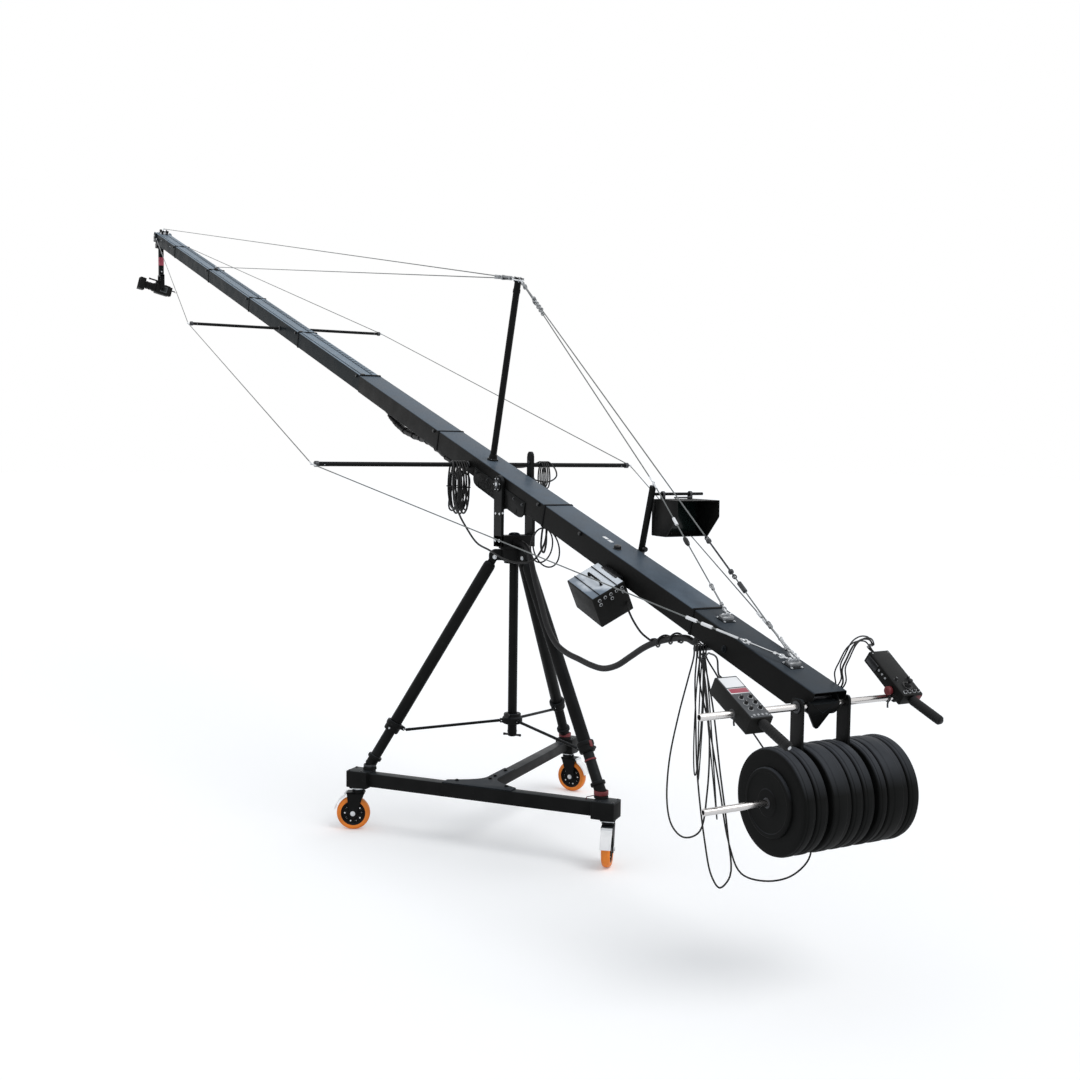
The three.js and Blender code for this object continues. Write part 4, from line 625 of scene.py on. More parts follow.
def left_control_cable():
    front = CONTROLLERS["left"]["front"]
    points = [controller_point("left", front + 1), controller_point("left", front + 40)]
    points += [(-2560, 385, 1425), (-2420, 320, 1425), (-2250, 210, 1390),
               (-2110, 135, 1345), *over_hook(117)]
    points += [(-2025, 150, 1240), (-2060, 225, 1080), (-2130, 320, 890), (-2215, 385, 730),
               (-2300, 415, 655), (-2400, 420, 632), (-2485, 400, 680), (-2455, 345, 830),
               (-2320, 240, 1040), (-2140, 140, 1260), *over_hook(101)]
    points += [(-2035, 118, 1240), (-2090, 150, 1080), (-2215, 225, 850), (-2390, 305, 600),
               (-2500, 345, 480), (-2560, 345, 448), (-2582, 310, 500), (-2480, 250, 650),
               (-2320, 180, 890), (-2180, 120, 1130), (-2090, 95, 1280), *over_hook(85)]
    points += [(-2025, 84, 1220), (-2120, 95, 1030), (-2260, 135, 790), (-2400, 180, 570),
               (-2490, 180, 465), (-2560, 110, 442), (-2612, 10, 462), (-2625, -80, 530),
               (-2560, -140, 610), (-2450, -150, 720), (-2350, -110, 870), (-2220, -20, 1080),
               (-2100, 50, 1270), *over_hook(69)[:5]]
    return points + [(-2000, 62, 1392), gland(-2075, 55, 18), gland(-2075, 55, 0)]


def right_control_cable():
    front = CONTROLLERS["right"]["front"]
    points = [gland(-2640, -50, 0), gland(-2640, -50, 16), gland(-2665, -78, 26), on_boom(-2720, -103, -80),
              on_boom(-2800, -103, -40), on_boom(-2860, -103, 10)]
    points += [(-2781, -104, 1326), (-2772, -106, 1380), (-2779, -122, 1424), (-2778, -160, 1480),
               (-2766, -215, 1500), (-2756, -265, 1496), (-2715, -325, 1463)]
    return points + [controller_point("right", front + 50), controller_point("right", front + 1)]


def soft_object(name, form, material):
    data = bpy.data.meshes.new(name)
    for face in form.faces:
        face.smooth = True
    form.to_mesh(data)
    form.free()
    data.materials.append(finishes[material])
    return new_object(name, data)


def cable(name, points, diameter, steps, body, between=None,
          material="cable_black", sides=14):
    line = [WORLD @ (p * MM) for p in smooth_route(points, steps)]
    made = soft_object(name + "_cord", sweep(line, diameter * MM / 2, sides), material)
    if between:
        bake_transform(made)
    else:
        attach(made, body)
    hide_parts(name)
    return line


def strands(name, line, radius, reaches):
    form = bmesh.new()
    last = len(line) - 1
    for reach in reaches:
        aside = [point + Vector(reach) * MM * math.sin(math.pi * i / last) for i, point in enumerate(line)]
        pour(sweep(aside, radius * MM, 10), form)
    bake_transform(soft_object(name, form, "cable_black"))


def strain_relief(name, line, diameter, body, reach=34):
    start = line[0]
    way = (line[1] - line[0]).normalized()
    piece = Piece(name, Matrix.Identity(4), body)
    radius = diameter / 2
    profile = [(0, -3), (radius * 2.1, -3), (radius * 2.1, 4), (radius * 1.7, 6)]
    for k in range(5):
        near = 6 + (reach - 6) * (k + 0.2) / 5
        wide = radius * (1.7 - 0.6 * (k + 0.5) / 5)
        profile += [(wide, near), (wide, near + reach * 0.08), (wide - radius * 0.16, near + reach * 0.1)]
    profile += [(radius * 1.05, reach), (0, reach)]
    relief = turned(profile, 20, 0.4)
    relief.transform(along(start / MM, (start + way) / MM))
    piece.add("foot_rubber", relief)
    piece.done()


def row(x, y, z):
    return (x * MM + PAN_X, y * MM, z * MM)


head_line = cable("head_cable", head_cable(), 12, 6, "boom")
coil_line = cable("right_coil", right_coil(), 10, 6, "boom")
harness_line = cable("harness", harness(), 33, 6, None,
                     ("pan_head", "boom", row(-200, 0, 1650), row(-1700, 0, 1400)), "sleeve_black", 24)
left_line = cable("left_control_cable", left_control_cable(), 8, 6, None,
                  ("boom", "left_controller", row(-2460, 400, 1400), row(-2515, 400, 1455)))
right_line = cable("right_control_cable", right_control_cable(), 8, 6, None,
                   ("boom", "right_controller", row(-2770, -150, 1470), row(-2690, -380, 1450)))
strands("right_cable_strands", right_line, 3.2, ((-26, 6, 10), (20, -8, 14), (34, 10, -16)))
strain_relief("head_cable_relief", head_line, 12, "boom")
strain_relief("head_cable_end_relief", head_line[::-1], 12, "boom", 18)
strain_relief("coil_relief", coil_line, 10, "boom", 24)
strain_relief("coil_end_relief", coil_line[::-1], 10, "boom", 24)
strain_relief("harness_relief", harness_line, 33, "pan_head", 44)
strain_relief("harness_end_relief", harness_line[::-1], 33, "boom", 40)
strain_relief("left_cable_relief", left_line, 8, "left_controller", 30)
strain_relief("left_cable_end_relief", left_line[::-1], 8, "boom", 16)
strain_relief("right_cable_relief", right_line, 8, "boom", 15)
strain_relief("right_cable_end_relief", right_line[::-1], 8, "right_controller", 30)


# Dolly beams, with their end boxes, caps and weld seams
BEAM_TOP = 352
BOX_TOP = 362
BOX_BOTTOM = 262
CROSS_X = -CASTER_CIRCLE * math.cos(math.radians(60))
CROSS_HALF = CASTER_CIRCLE * math.sin(math.radians(60))


def dolly_beams():
    cross = Piece("cross_beam_dressed", DOLLY, "dolly", "cross_beam")
    inner = CROSS_HALF - 86
    cross.add("frame_black", block(CROSS_X - 35, CROSS_X + 35, -inner - 4, inner + 4, 272, BEAM_TOP, 4, 3))
    for way in (-1, 1):
        near, far = span(way, inner, CROSS_HALF + 51)
        cross.add("frame_black", block(CROSS_X - 60, CROSS_X + 60, near, far, BOX_BOTTOM, BOX_TOP, 5, 3))
        near, far = span(way, CROSS_HALF + 50, CROSS_HALF + 52)
        cap = block(CROSS_X - 50, CROSS_X + 50, near, far, BOX_BOTTOM + 10, BOX_TOP - 10, 4, 3)
        cross.add("foot_rubber", cap)
        for x in (-40, 40):
            for y in (way * (CROSS_HALF - 40), way * (CROSS_HALF + 38)):
                cross.bolt("dark_steel", (CROSS_X + x, y, BOX_TOP - 1), (0, 0, 1), 6, 4)
        seam = [(x, way * inner, z) for x, z in band(270, BEAM_TOP + 2, CROSS_X - 37, CROSS_X + 37)]
        cross.add("frame_black", sweep(soften(seam, 8, True), 3.5, 8, True))
    cross.done()
    tail = Piece("tail_beam_dressed", DOLLY, "dolly", "tail_beam")
    tail.add("frame_black", block(CROSS_X + 35.3, CASTER_CIRCLE - 80, -35, 35, BEAM_TOP - 60, BEAM_TOP, 4, 3))
    tail.add("frame_black", block(CASTER_CIRCLE - 86, CASTER_CIRCLE + 51, -60, 60, BOX_BOTTOM, BOX_TOP, 5, 3))
    cap = block(CASTER_CIRCLE + 50, CASTER_CIRCLE + 52, -50, 50, BOX_BOTTOM + 10, BOX_TOP - 10, 4, 3)
    tail.add("foot_rubber", cap)
    seam = [(CASTER_CIRCLE - 86, y, z) for y, z in band(290, BEAM_TOP + 2, -37, 37)]
    tail.add("frame_black", sweep(soften(seam, 8, True), 3.5, 8, True))
    for x in (-40, 38):
        for y in (-44, 44):
            tail.bolt("dark_steel", (CASTER_CIRCLE + x, y, BOX_TOP - 1), (0, 0, 1), 6, 4)
    tail.done()


def gusset():
    piece = Piece("gusset_dressed", DOLLY, "dolly", "gusset_plate")
    half, edge, bend, reach = 220, 35, 190, 430
    shares = [k / 10 for k in range(10)]
    neck = [(edge + (bend - edge) * t, (half - edge) * (1 - (1 - t) ** 2) - half) for t in shares]
    lower = [(-edge, -half), *neck, (bend, -edge), (reach, -edge)]
    outline = [(x + CROSS_X, y) for x, y in lower + [(x, -y) for x, y in reversed(lower)]]
    piece.add("gusset_gray", plate(outline, BEAM_TOP + 0.3, BEAM_TOP + 6.3, "xy", 0, 1.2))
    for across, forward in ((0.36, 0.09), (-0.36, 0.09), (0, 0.36), (0, 0.52), (0, 0.86)):
        at = (CROSS_X + forward * reach, across * half * 2, BEAM_TOP + 6)
        piece.bolt("seam_black", at, (0, 0, 1), 9, 6, 1.5)
    piece.done()


dolly_beams()
gusset()


# Tripod crown, column, hub and legs
LEG_TOP = 1640
LEG_TOP_RADIUS = 118
LEG_FOOT_RADIUS = 853


def crown():
    piece = Piece("crown_dressed", DOLLY, "dolly", "tripod_crown")
    body = [(0, 1602), (60, 1602), (60, 1612), (80, 1622), (84, 1640), (84, 1690), (0, 1690)]
    piece.add("frame_black", turned(body, 64, 3))
    for i in range(3):
        turn = turn_z(120 * i)
        ear = [(40, 1620), (150, 1620), (150, 1662), (122, 1685), (40, 1685)]

        def pin(start, end, radius, sides=24, edge=1.5):
            form = rod((LEG_TOP_RADIUS, start, LEG_TOP), (LEG_TOP_RADIUS, end, LEG_TOP), radius, sides, edge)
            piece.add("zinc", form, turn=turn)

        for way in (-1, 1):
            piece.add("frame_black", plate(ear, *span(way, 14.3, 26.3), "xz", 12, 1.5), turn=turn)
            pin(way * 26, way * 28, 13, 24, 0.4)
            pin(way * 27, way * 34, 9.5, 6, 1.2)
        pin(-30, 30, 7.5)
    piece.done()


def column():
    piece = Piece("column_dressed", DOLLY, "dolly", "center_column")
    piece.add("frame_black", turned([(0, 560), (27.5, 560), (27.5, 1599.7), (0, 1599.7)], 40, 2))
    foot = [(0, 552), (22, 552), (26, 556), (26, 574), (29, 578), (29, 588), (0, 588)]
    piece.add("frame_black", turned(foot, 40, 1.5))
    piece.add("dark_steel", rod((0, -50, 560), (0, 50, 560), 6.5))
    grip = [(0, 0), (7, 0), (8, 4), (8, 12), (6, 14), (0, 14)]
    for way in (-1, 1):
        piece.add("knob_black", spun((0, way * 44, 560), (0, way * 45, 560), grip, 20, 1))
    piece.done()


def hub():
    piece = Piece("hub_dressed", DOLLY, "dolly", "spreader_hub")
    body = [(28, 628), (48, 628), (58, 633), (61, 638), (61, 664), (57, 670), (52, 674), (52, 688),
            (50, 692), (28, 692)]
    piece.add("frame_black", turned(body, 48, 1.2, True))
    for i in range(3):
        turn = turn_z(120 * i)
        for way in (-1, 1):
            ear = plate(band(636, 660, 44, 76), *span(way, 4, 12.5), "xz", 5, 1)
            piece.add("frame_black", ear, turn=turn)
        piece.add("zinc", rod((67, -14, 648), (67, 14, 648), 3.5, 16, 0.6), turn=turn)
    turn = turn_z(180)
    piece.add("zinc", rod((46, 0, 684), (72, 0, 688), 6, 16, 1), turn=turn)
    grip = [(0, 0), (12, 0), (17, 5), (17, 13), (14, 19), (0, 19)]
    piece.add("knob_black", spun((66, 0, 687), (86, 0, 692), grip, 10, 2.5), turn=turn)
    piece.done()


LEG_DROP = LEG_TOP - 386.3
LEG_RUN = LEG_FOOT_RADIUS - LEG_TOP_RADIUS
LEG_LENGTH = math.hypot(LEG_DROP, LEG_RUN)
LEG_LEAN = math.degrees(math.atan2(LEG_RUN, LEG_DROP))
TUBE_END = LEG_LENGTH - 240


def leg_place(index):
    return DOLLY @ turn_z(120 * index) @ shift(LEG_TOP_RADIUS, 0, LEG_TOP) @ turn_y(180 - LEG_LEAN)


def leg(side):
    index = SIDES[side][0]
    outer = Piece(f"leg_outer_{side}_dressed", leg_place(index), "dolly", f"leg_outer_{side}")
    collar = TUBE_END - 62
    tube = [(0, 40), (27, 40), (34, 50), (36.5, 64), (36.5, collar + 2), (0, collar + 2)]
    outer.add("frame_black", turned(tube, 48, 2))
    clamp = [(33, collar), (48, collar), (50, collar + 4), (50, collar + 24), (46, collar + 28)]
    clamp += [(46, TUBE_END - 8), (43, TUBE_END), (31.3, TUBE_END), (31.3, collar)]
    outer.add("frame_black", turned(clamp, 48, 1.5, True))
    tongue = arc(0, 0, 22, 90, 270, 14) + [(0, -22), (46, -22), (46, 22), (0, 22)]
    outer.add("frame_black", plate([(x, z) for z, x in tongue], -13.8, 13.8, "xz", 0, 1.5))
    for way in (-1, 1):
        ear = [(45, collar), (70, collar + 3), (70, collar + 23), (45, collar + 26)]
        outer.add("frame_black", plate(ear, *span(way, 3, 11), "xz", 5, 1))
    outer.add("zinc", rod((63, -13, collar + 13), (63, 13, collar + 13), 3.5, 16, 0.6))
    outer.add("dark_steel", rod((-20, 38, collar + 44), (-20, 46, collar + 44), 9, 20, 1))
    outer.bolt("zinc", (-20, 44, collar + 44), (0, 1, 0), 5.5, 5, 1.2)
    if side == "rear":
        outer.add("red_dark", block(-54, -44, -9, 9, collar + 6, collar + 44, 4))
    outer.done()
    inner = Piece(f"leg_inner_{side}_dressed", leg_place(index), "dolly", f"leg_inner_{side}")
    ring_end = LEG_LENGTH - 46
    tube = [(0, TUBE_END - 60), (31, TUBE_END - 60)]
    tube += [(r, ring_end + z) for r, z in ((31, -22), (41, -22), (43, -18), (43, -4), (40, 0), (33, 0))]
    tube += [(33, LEG_LENGTH - 14), (0, LEG_LENGTH - 14)]
    inner.add("frame_black", turned(tube, 40, 1.5))
    foot = ((0, -18), (34, -18), (34, -8), (31, -2), (0, -2))
    inner.add("foot_rubber", turned([(r, LEG_LENGTH + z) for r, z in foot], 40, 2))
    inner.done()
    end = leg_place(index) @ (Vector((0, 0, LEG_LENGTH)) * MM)
    local = (DOLLY.inverted() @ end) / MM
    shoe = Piece(f"leg_shoe_{side}", DOLLY @ shift(local.x, local.y, 0) @ turn_z(120 * index), "dolly")
    sole = [(0, 362.5), (40, 362.5), (41, 366), (38, 378), (34, 384), (0, 386)]
    shoe.add("foot_rubber", turned(sole, 40, 1.5))
    material, top, reach = ("dark_steel", 394, 38) if side == "left" else ("red_dark", 404, 41)
    shoe.add(material, turned(band(380, top, 33, reach), 40, 2, True))
    shoe.done()


def spreader(side):
    index = SIDES[side][0]
    bar = Piece(f"spreader_{side}_dressed", DOLLY @ turn_z(120 * index), "dolly", f"spreader_bar_{side}")
    lean = math.radians(LEG_LEAN)
    down = TUBE_END - 62 + 13
    out = 50 + 20 + 0.6 + 9 * math.sin(lean)
    across = Vector((math.cos(lean), 0, math.sin(lean)))
    end = Vector((LEG_TOP_RADIUS + down * across.z, 0, LEG_TOP - down * across.x)) - across * out
    start = Vector((76.5, 0, 648))
    hub_pin = Vector((67, 0, 648))
    leg_pin = end + across * (out - 63)
    for point, pin in ((start, hub_pin), (end, leg_pin)):
        bar.add("frame_black", rod(point, pin, 2.8, 16, 0.4))
        bar.add("frame_black", rod(pin + Vector((0, -2.7, 0)), pin + Vector((0, 2.7, 0)), 8, 20, 0.6))
    way = (end - start).normalized()
    bar.add("frame_black", rod(start, end, 8.5, 24, 3))
    cap = [(0, 1), (6, 1), (9, 4), (9, 28), (8.6, 30), (0, 30)]
    for point, sign in ((start, 1), (end, -1)):
        bar.add("frame_black", spun(point, point + way * sign, cap, 20, 1))
    bar.done()


crown()
column()
hub()
for side in SIDES:
    leg(side)
    spreader(side)


# A red clip on the near leg, and a strap with a buckle round its box
def leg_trim():
    place = leg_place(SIDES["rear"][0])
    clip = Piece("leg_clip", place, "dolly")
    near = TUBE_END + 40
    clip.add("red_dark", turned(band(near, near + 9, 31, 35), 32, 2, True))
    clip.add("dark_steel", block(29, 46, -5, 5, near + 1, near + 8, 2))
    clip.done()
    strap = Piece("strap", DOLLY @ turn_z(SIDES["rear"][0] * 120) @ shift(LEG_FOOT_RADIUS, 0, 0), "dolly")
    ring = [(-54, y, z) for z, y in band(-62, 62, BOX_BOTTOM, BOX_TOP + 2)]
    strap.add("red_dark", sweep(soften(ring, 6, True), 2.4, 8, True))
    strap.add("zinc", block(-70, -38, 60, 65, 300, 330, 3))
    strap.done()


# Casters
TRAIL = 30
WHEEL_RADIUS = 100


def caster(side):
    place = caster_frame(side)
    fork = Piece(f"caster_fork_{side}_dressed", place, f"caster_{side}", f"caster_fork_{side}")
    top = BOX_BOTTOM - 0.3
    fork.add("frame_black", block(-50, 50, -42, 42, top - 6, top, 1.5))
    for x in (-40, 40):
        for y in (-32, 32):
            fork.bolt("zinc", (x, y, top - 6), (0, 0, -1), 5.5, 5, 1.2)
    fork.add("zinc", turned([(0, 244), (33, 244), (37, 247), (37, 252), (34, 256), (0, 256)], 48, 1.5))
    bearing = [(0, 216), (28, 216), (36, 226), (38, 234), (38, 240), (32, 245), (0, 245)]
    fork.add("frame_black", turned(bearing, 48, 2))
    end = TRAIL + 38
    crown_plate = [(-38, 216), (end, 216), (end, 226), (end - 7, 228), (-32, 228), (-38, 224)]
    fork.add("frame_black", plate(crown_plate, -34, 34, "xz", 3, 1.2))
    leg_outline = [(-38, 228), (TRAIL - 22, WHEEL_RADIUS)]
    leg_outline += arc(TRAIL, WHEEL_RADIUS, 22, 180, 360, 20) + [(end, 228)]

    def on_axle(y):
        return TRAIL, y, WHEEL_RADIUS

    for way in (-1, 1):
        fork.add("frame_black", plate(leg_outline, *span(way, 29, 34), "xz", 0, 1))
        washer = [(0, 0), (15, 0), (15, 2), (12.5, 3), (0, 3)]
        fork.add("zinc", spun(on_axle(way * 34), on_axle(way * 35), washer, 32, 0.6))
        fork.add("zinc", rod(on_axle(way * 36), on_axle(way * 42.5), 11, 6, 1.5))
    fork.add("zinc", rod(on_axle(-30), on_axle(30), 7.6))
    fork.done()
    axle = place @ shift(*on_axle(0)) @ turn_x(-90)
    wheel = Piece(f"wheel_{side}_dressed", axle, f"wheel_{side}", f"caster_wheel_{side}")
    tyre_half = [(72, 22), (88, 24.5), (96, 19), (99.6, 10)]
    tyre = [(r, -h) for r, h in tyre_half] + [(100, 0)] + tyre_half[::-1]
    wheel.add("orange_tyre", turned(tyre, 96, 3, True))
    for height in (-24, 24):
        wheel.add("orange_tyre", turned(band(height - 1.2, height + 1.2, 84, 86), 96, 0.8, True))
    hub_half = [(10, 25), (26, 25), (30, 22), (31, 12), (64, 12), (68, 20), (76, 22.5)]
    hub_form = hub_half + [(r, -h) for r, h in reversed(hub_half)]
    wheel.add("frame_black", turned(hub_form, 64, 1.5, True))
    for way in (1, -1):
        for x, y in around(10, 50):
            wheel.add("pale_plate", rod((x, y, way * 12), (x, y, way * 16.5), 4.6, 12, 1.2))
        for k in range(5):
            rib = block(30, 66, -3, 3, *span(way, 12, 20), 1.5)
            wheel.add("frame_black", rib, turn=turn_z(72 * k + 36))
        wheel.add("zinc", turned(band(way * 25, way * 27.2, 11, 17), 32, 0.5, True))
    wheel.done()
    pedal = Piece(f"pedal_{side}_dressed", place, f"pedal_{side}", f"brake_pedal_{side}")
    hinge = TRAIL + 45.3
    guard = arc(TRAIL, WHEEL_RADIUS, 114, 12, 62, 18) + [(hinge + 4, 223), (hinge - 2, 221)]
    guard += arc(TRAIL, WHEEL_RADIUS, 110, 62, 12, 18)
    pedal.add("pale_plate", plate(guard, -31, 31, "xz", 0, 1.2))
    pedal.add("zinc", rod((hinge, -31, 222), (hinge, 31, 222), 6.8, 24, 1.5))
    for y in (-24, 24):
        rim = [(x, y, z) for x, z in arc(TRAIL, WHEEL_RADIUS, 115, 14, 58, 11)]
        pedal.add("pale_plate", sweep(rim, 1.6, 8))
    pedal.done()


leg_trim()
for side in SIDES:
    caster(side)


# Yoke on its turntable, between the crown and the boom's trunnions
def yoke():
    piece = Piece("yoke_dressed", WORLD, "pan_head", "yoke")
    base = 1690.3
    piece.add("frame_black", turned([(0, base), (93, base), (93, base + 18), (0, base + 18)], 72, 2))
    piece.add("dark_steel", turned([(0, 1640), (24.5, 1640), (24.5, base + 1), (0, base + 1)], 32, 1))
    for x, y in around(6, 82, 30):
        piece.bolt("dark_steel", (x, y, base + 18), (0, 0, 1), 5, 4, 1)
    piece.add("frame_black", block(-50, 50, -114, 114, base + 13, base + 80, 3, 3))
    dome = [(0, 76), (36, 76), (36, 82), (30, 92), (16, 96), (0, 96.5)]
    piece.add("gusset_gray", turned([(radius, base + rise) for radius, rise in dome], 48, 4))
    ear, post, post_top = 52, 29, 2270
    meet = math.degrees(math.acos(post / ear))
    for low, high, upright in ((96, 114, False), (-114, -96, True)):
        outline = [(-50, base + 12), (50, base + 12), (50, TILT_HEIGHT - 20)]
        if upright:
            outline += arc(0, TILT_HEIGHT, ear, 4, meet, 8) + arc(0, post_top - post, post, 0, 180, 18)
            outline += arc(0, TILT_HEIGHT, ear, 180 - meet, 176, 8)
        else:
            outline += arc(0, TILT_HEIGHT, ear, 4, 176, 30)
        outline += [(-50, TILT_HEIGHT - 20)]
        piece.add("frame_black", plate(outline, low, high, "xz", 0, 2))
        way = 1 if low > 0 else -1
        face = way * 114
        rim = [(27, -1), (44, -1), (44, 5), (40, 8), (27, 8)]
        centre = (0, face, TILT_HEIGHT)
        piece.add("frame_black", spun(centre, (0, face + way, TILT_HEIGHT), rim, 56, 1.2, True))
        for x, z in around(6, 36):
            piece.bolt("zinc", (x, face + way * 7.5, TILT_HEIGHT + z), (0, way, 0), 3, 2.6, 0.6)
        for x in (-26, 26):
            piece.bolt("white_face", (x, face, 1900), (0, way, 0), 5, 4, 1)
            piece.bolt("zinc", (x, face, 1740), (0, way, 0), 7, 5, 1.5)
    for way in (-1, 1):
        for y in (105, -105):
            piece.bolt("white_face", (way * 50, y, 1905), (way, 0, 0), 4.5, 3, 1)
    for near, far in ((-96, -90), (-114, -120)):
        piece.add("dark_steel", rod((0, near, 2205), (0, far, 2205), 12, 24, 1))
    piece.done()


yoke()


# Boom sections
CORNER = 7.0
RIB_RISE = 5
SEAM_GAP = 0.15
BOOM_WALL = 3.1


def box_ring(half, x, ribbed=False, top=BOOM_TOP, grow=0.0):
    side = half + grow
    high = top + grow
    low = BOOM_BOTTOM - grow
    outline = [(-side, low), (side, low), (side, high)]
    if ribbed:
        outer, inner = half - 20, half - 54
        rib = [(outer, high), (outer, high + RIB_RISE), (inner, high + RIB_RISE), (inner, high)]
        outline += rib + [(-y, z) for y, z in reversed(rib)]
    outline += [(-side, high)]
    ring = []
    count = len(outline)
    for i, point in enumerate(outline):
        here = Vector(point)
        before = Vector(outline[i - 1]) - here
        after = Vector(outline[(i + 1) % count]) - here
        sharp = min(before.length, after.length) <= 20
        reach = min(2.0 if sharp else CORNER, before.length * 0.4, after.length * 0.4)
        ring += [Vector((x, spot.x, spot.y)) for spot in curve(here, before, after, reach, 4)]
    return ring


def section_body(piece, rings, start, half, ribbed, material):
    piece.add(material, loft(rings))
    top = BOOM_TOP + (RIB_RISE if ribbed else 0)
    places = ((0, 1.5), (1.5, 3.8), (14.5, 3.8), (16, 0.3))
    collar = [box_ring(half, start + x, grow=grow, top=top) for x, grow in places]
    piece.add("seam_black", loft(collar))


def slots(piece, start, end, half):
    y0, y1 = -half + 22, -half + 52
    x = start + 90
    while x < end - 60:
        piece.add("seam_black", block(x, x + 17, y0, y1, BOOM_TOP + 3, BOOM_TOP + 6, 1.2))
        x += 62


def boom_sections():
    for i in range(7):
        start = REAR_JOINT + i * SECTION
        end = start + SECTION
        front = i >= 3
        half = FRONT_HALF if front else BOOM_HALF
        # Front sections take the paint copy with the strongest, bluest painted sheen; the rear sections take
        # a middle one
        material = "front_black_painted_sheen_strong" if front else "boom_black_painted_sheen"
        piece = Piece(f"boom_section_{i + 1}_dressed", BOOM, "boom", f"boom_section_{i + 1}")
        low, high = start + SEAM_GAP, end - SEAM_GAP
        places = ((low, -1.0), (low + 1.5, 0.0), (high - 1.5, 0.0), (high, -1.0))
        rings = [box_ring(half, x, front, grow=grow) for x, grow in places]
        section_body(piece, rings, low, half, front, material)
        left, right_place = (-955, -1035) if i == 0 else (start + 78, start + 78)
        for x, way in ((left, 1), (right_place, -1)):
            at = (x, way * (half - 1), BOOM_TOP - 18)
            piece.add("seam_black", rod(at, (x, way * (half + 2), at[2]), 13, 28, 0.8))
            head = [(0, 3), (9, 3), (10, 5), (10, 12), (8, 13), (0, 13)]
            piece.add("knob_black", spun(at, (x, way * half, at[2]), head, 16, 1))
        if i == 0:
            x, y = -1240, 30
            top_knob = [(0, 0), (23, 0), (23, 3), (19, 5), (20, 9), (20, 17), (17, 20.5), (0, 21)]
            piece.add("knob_black", spun((x, y, BOOM_TOP - 1), (x, y, BOOM_TOP), top_knob, 24, 1.2))
            piece.add("dark_steel", rod((x, y, BOOM_TOP + 19), (x, y, BOOM_TOP + 21), 6, 6, 0.5))
            for x in (-1125, -1075):
                piece.add("white_face", block(x - 20, x + 20, -6, 14, BOOM_TOP - 0.5, BOOM_TOP + 0.8, 0.5))
        if front:
            slots(piece, start, end, half)
            low, high = BOOM_TOP + 3, BOOM_TOP + 11
            piece.add("dark_steel", block(start + 20, start + 44, half - 40, half - 14, low, high, 2))
        if i == 5:
            lug = [(-12, -1), (12, -1), (12, 14), (4, 22), (-4, 22), (-12, 14)]
            piece.add("dark_steel", plate([(MID_LUG + x, BOOM_TOP + z) for x, z in lug], -20, 20, "xz", 3, 1))
        piece.done()


STAPLE = ((-7, 20), (-8, 30), (8, 30), (7, 20))


def tail():
    piece = Piece("boom_tail_dressed", BOOM, "boom", "boom_tail")
    cut_top = BOOM_TOP - 35
    slant = (cut_top - BOOM_BOTTOM) / 157

    def ring(shrink, corner, ended, inset=0.0):
        half, top, bottom = BOOM_HALF - shrink, BOOM_TOP - shrink, BOOM_BOTTOM + shrink
        outline = [(-half, bottom), (half, bottom), (half, cut_top), (half, top), (-half, top),
                   (-half, cut_top)]
        out = []
        for i, point in enumerate(outline):
            here = Vector(point)
            before = Vector(outline[i - 1]) - here
            after = Vector(outline[(i + 1) % 6]) - here
            reach = 0.01 if i in (2, 5) else corner
            for spot in curve(here, before, after, reach, 5):
                x = REAR_JOINT - SEAM_GAP
                if ended:
                    x = TAIL_END + inset + max(0.0, (cut_top - spot.y) / slant)
                out.append(Vector((x, spot.x, spot.y)))
        return out

    rings = [ring(0, 9, False), ring(0, 9, True, 1.0), ring(0.8, 8.5, True), ring(BOOM_WALL, 6, True),
             ring(BOOM_WALL, 6, False)]
    # The tail takes the paint copy with the weakest painted sheen
    piece.add("tail_black_painted_sheen_weak", loft(rings, closed_way=True))
    inside = block(REAR_JOINT - 20, REAR_JOINT - 3, -BOOM_HALF + 4, BOOM_HALF - 4,
                   BOOM_BOTTOM + 4, BOOM_TOP - 4, 2)
    piece.add("seam_black", inside)
    for x in (FRONT_ANCHOR, REAR_ANCHOR):
        piece.add("frame_black", block(x - 34, x + 34, -34, 34, BOOM_TOP - 1, BOOM_TOP + 3, 1.2))
        low, high = BOOM_TOP + 2, BOOM_TOP + 22
        anchor = [(x - 22, low), (x + 22, low), (x + 18, high), (x - 18, high)]
        piece.add("shackle_steel", plate(anchor, -31, 31, "xz", 5, 2))
        for y in (-21, 0, 21):
            staple = [(x, y + aside, BOOM_TOP + rise) for aside, rise in STAPLE]
            piece.add("zinc", sweep(soften(staple, 6, False, 4), 2.6, 10))
        for dx, dy in ((-28, -27), (-28, 27), (28, -27), (28, 27)):
            piece.bolt("zinc", (x + dx, dy, BOOM_TOP + 3), (0, 0, 1), 4.5, 3.5, 0.8)
    low = BOOM_BOTTOM + 1
    hanger = [(-13, low), (13, low), (11, HOOK_HEIGHT), (-11, HOOK_HEIGHT)]
    piece.add("dark_steel", plate([(HOOK_PLACE + x, z) for x, z in hanger], 15, 29, "xz", 2, 1))
    piece.add("dark_steel", rod((HOOK_PLACE, 15, HOOK_HEIGHT), (HOOK_PLACE, 120, HOOK_HEIGHT), 12.6, 28, 2))
    piece.add("knob_black", rod((HOOK_PLACE, 116, HOOK_HEIGHT), (HOOK_PLACE, 125, HOOK_HEIGHT), 12.9, 28, 3))
    x, z = -2311, -29
    washer = [(0, 0), (17, 0), (17, 4), (14, 6), (0, 6)]
    piece.add("gusset_gray", spun((x, BOOM_HALF - 1, z), (x, BOOM_HALF, z), washer, 32, 1))
    piece.add("gusset_gray", rod((x, BOOM_HALF + 4, z), (x, BOOM_HALF + 12, z), 10, 6, 1.5))
    piece.done()


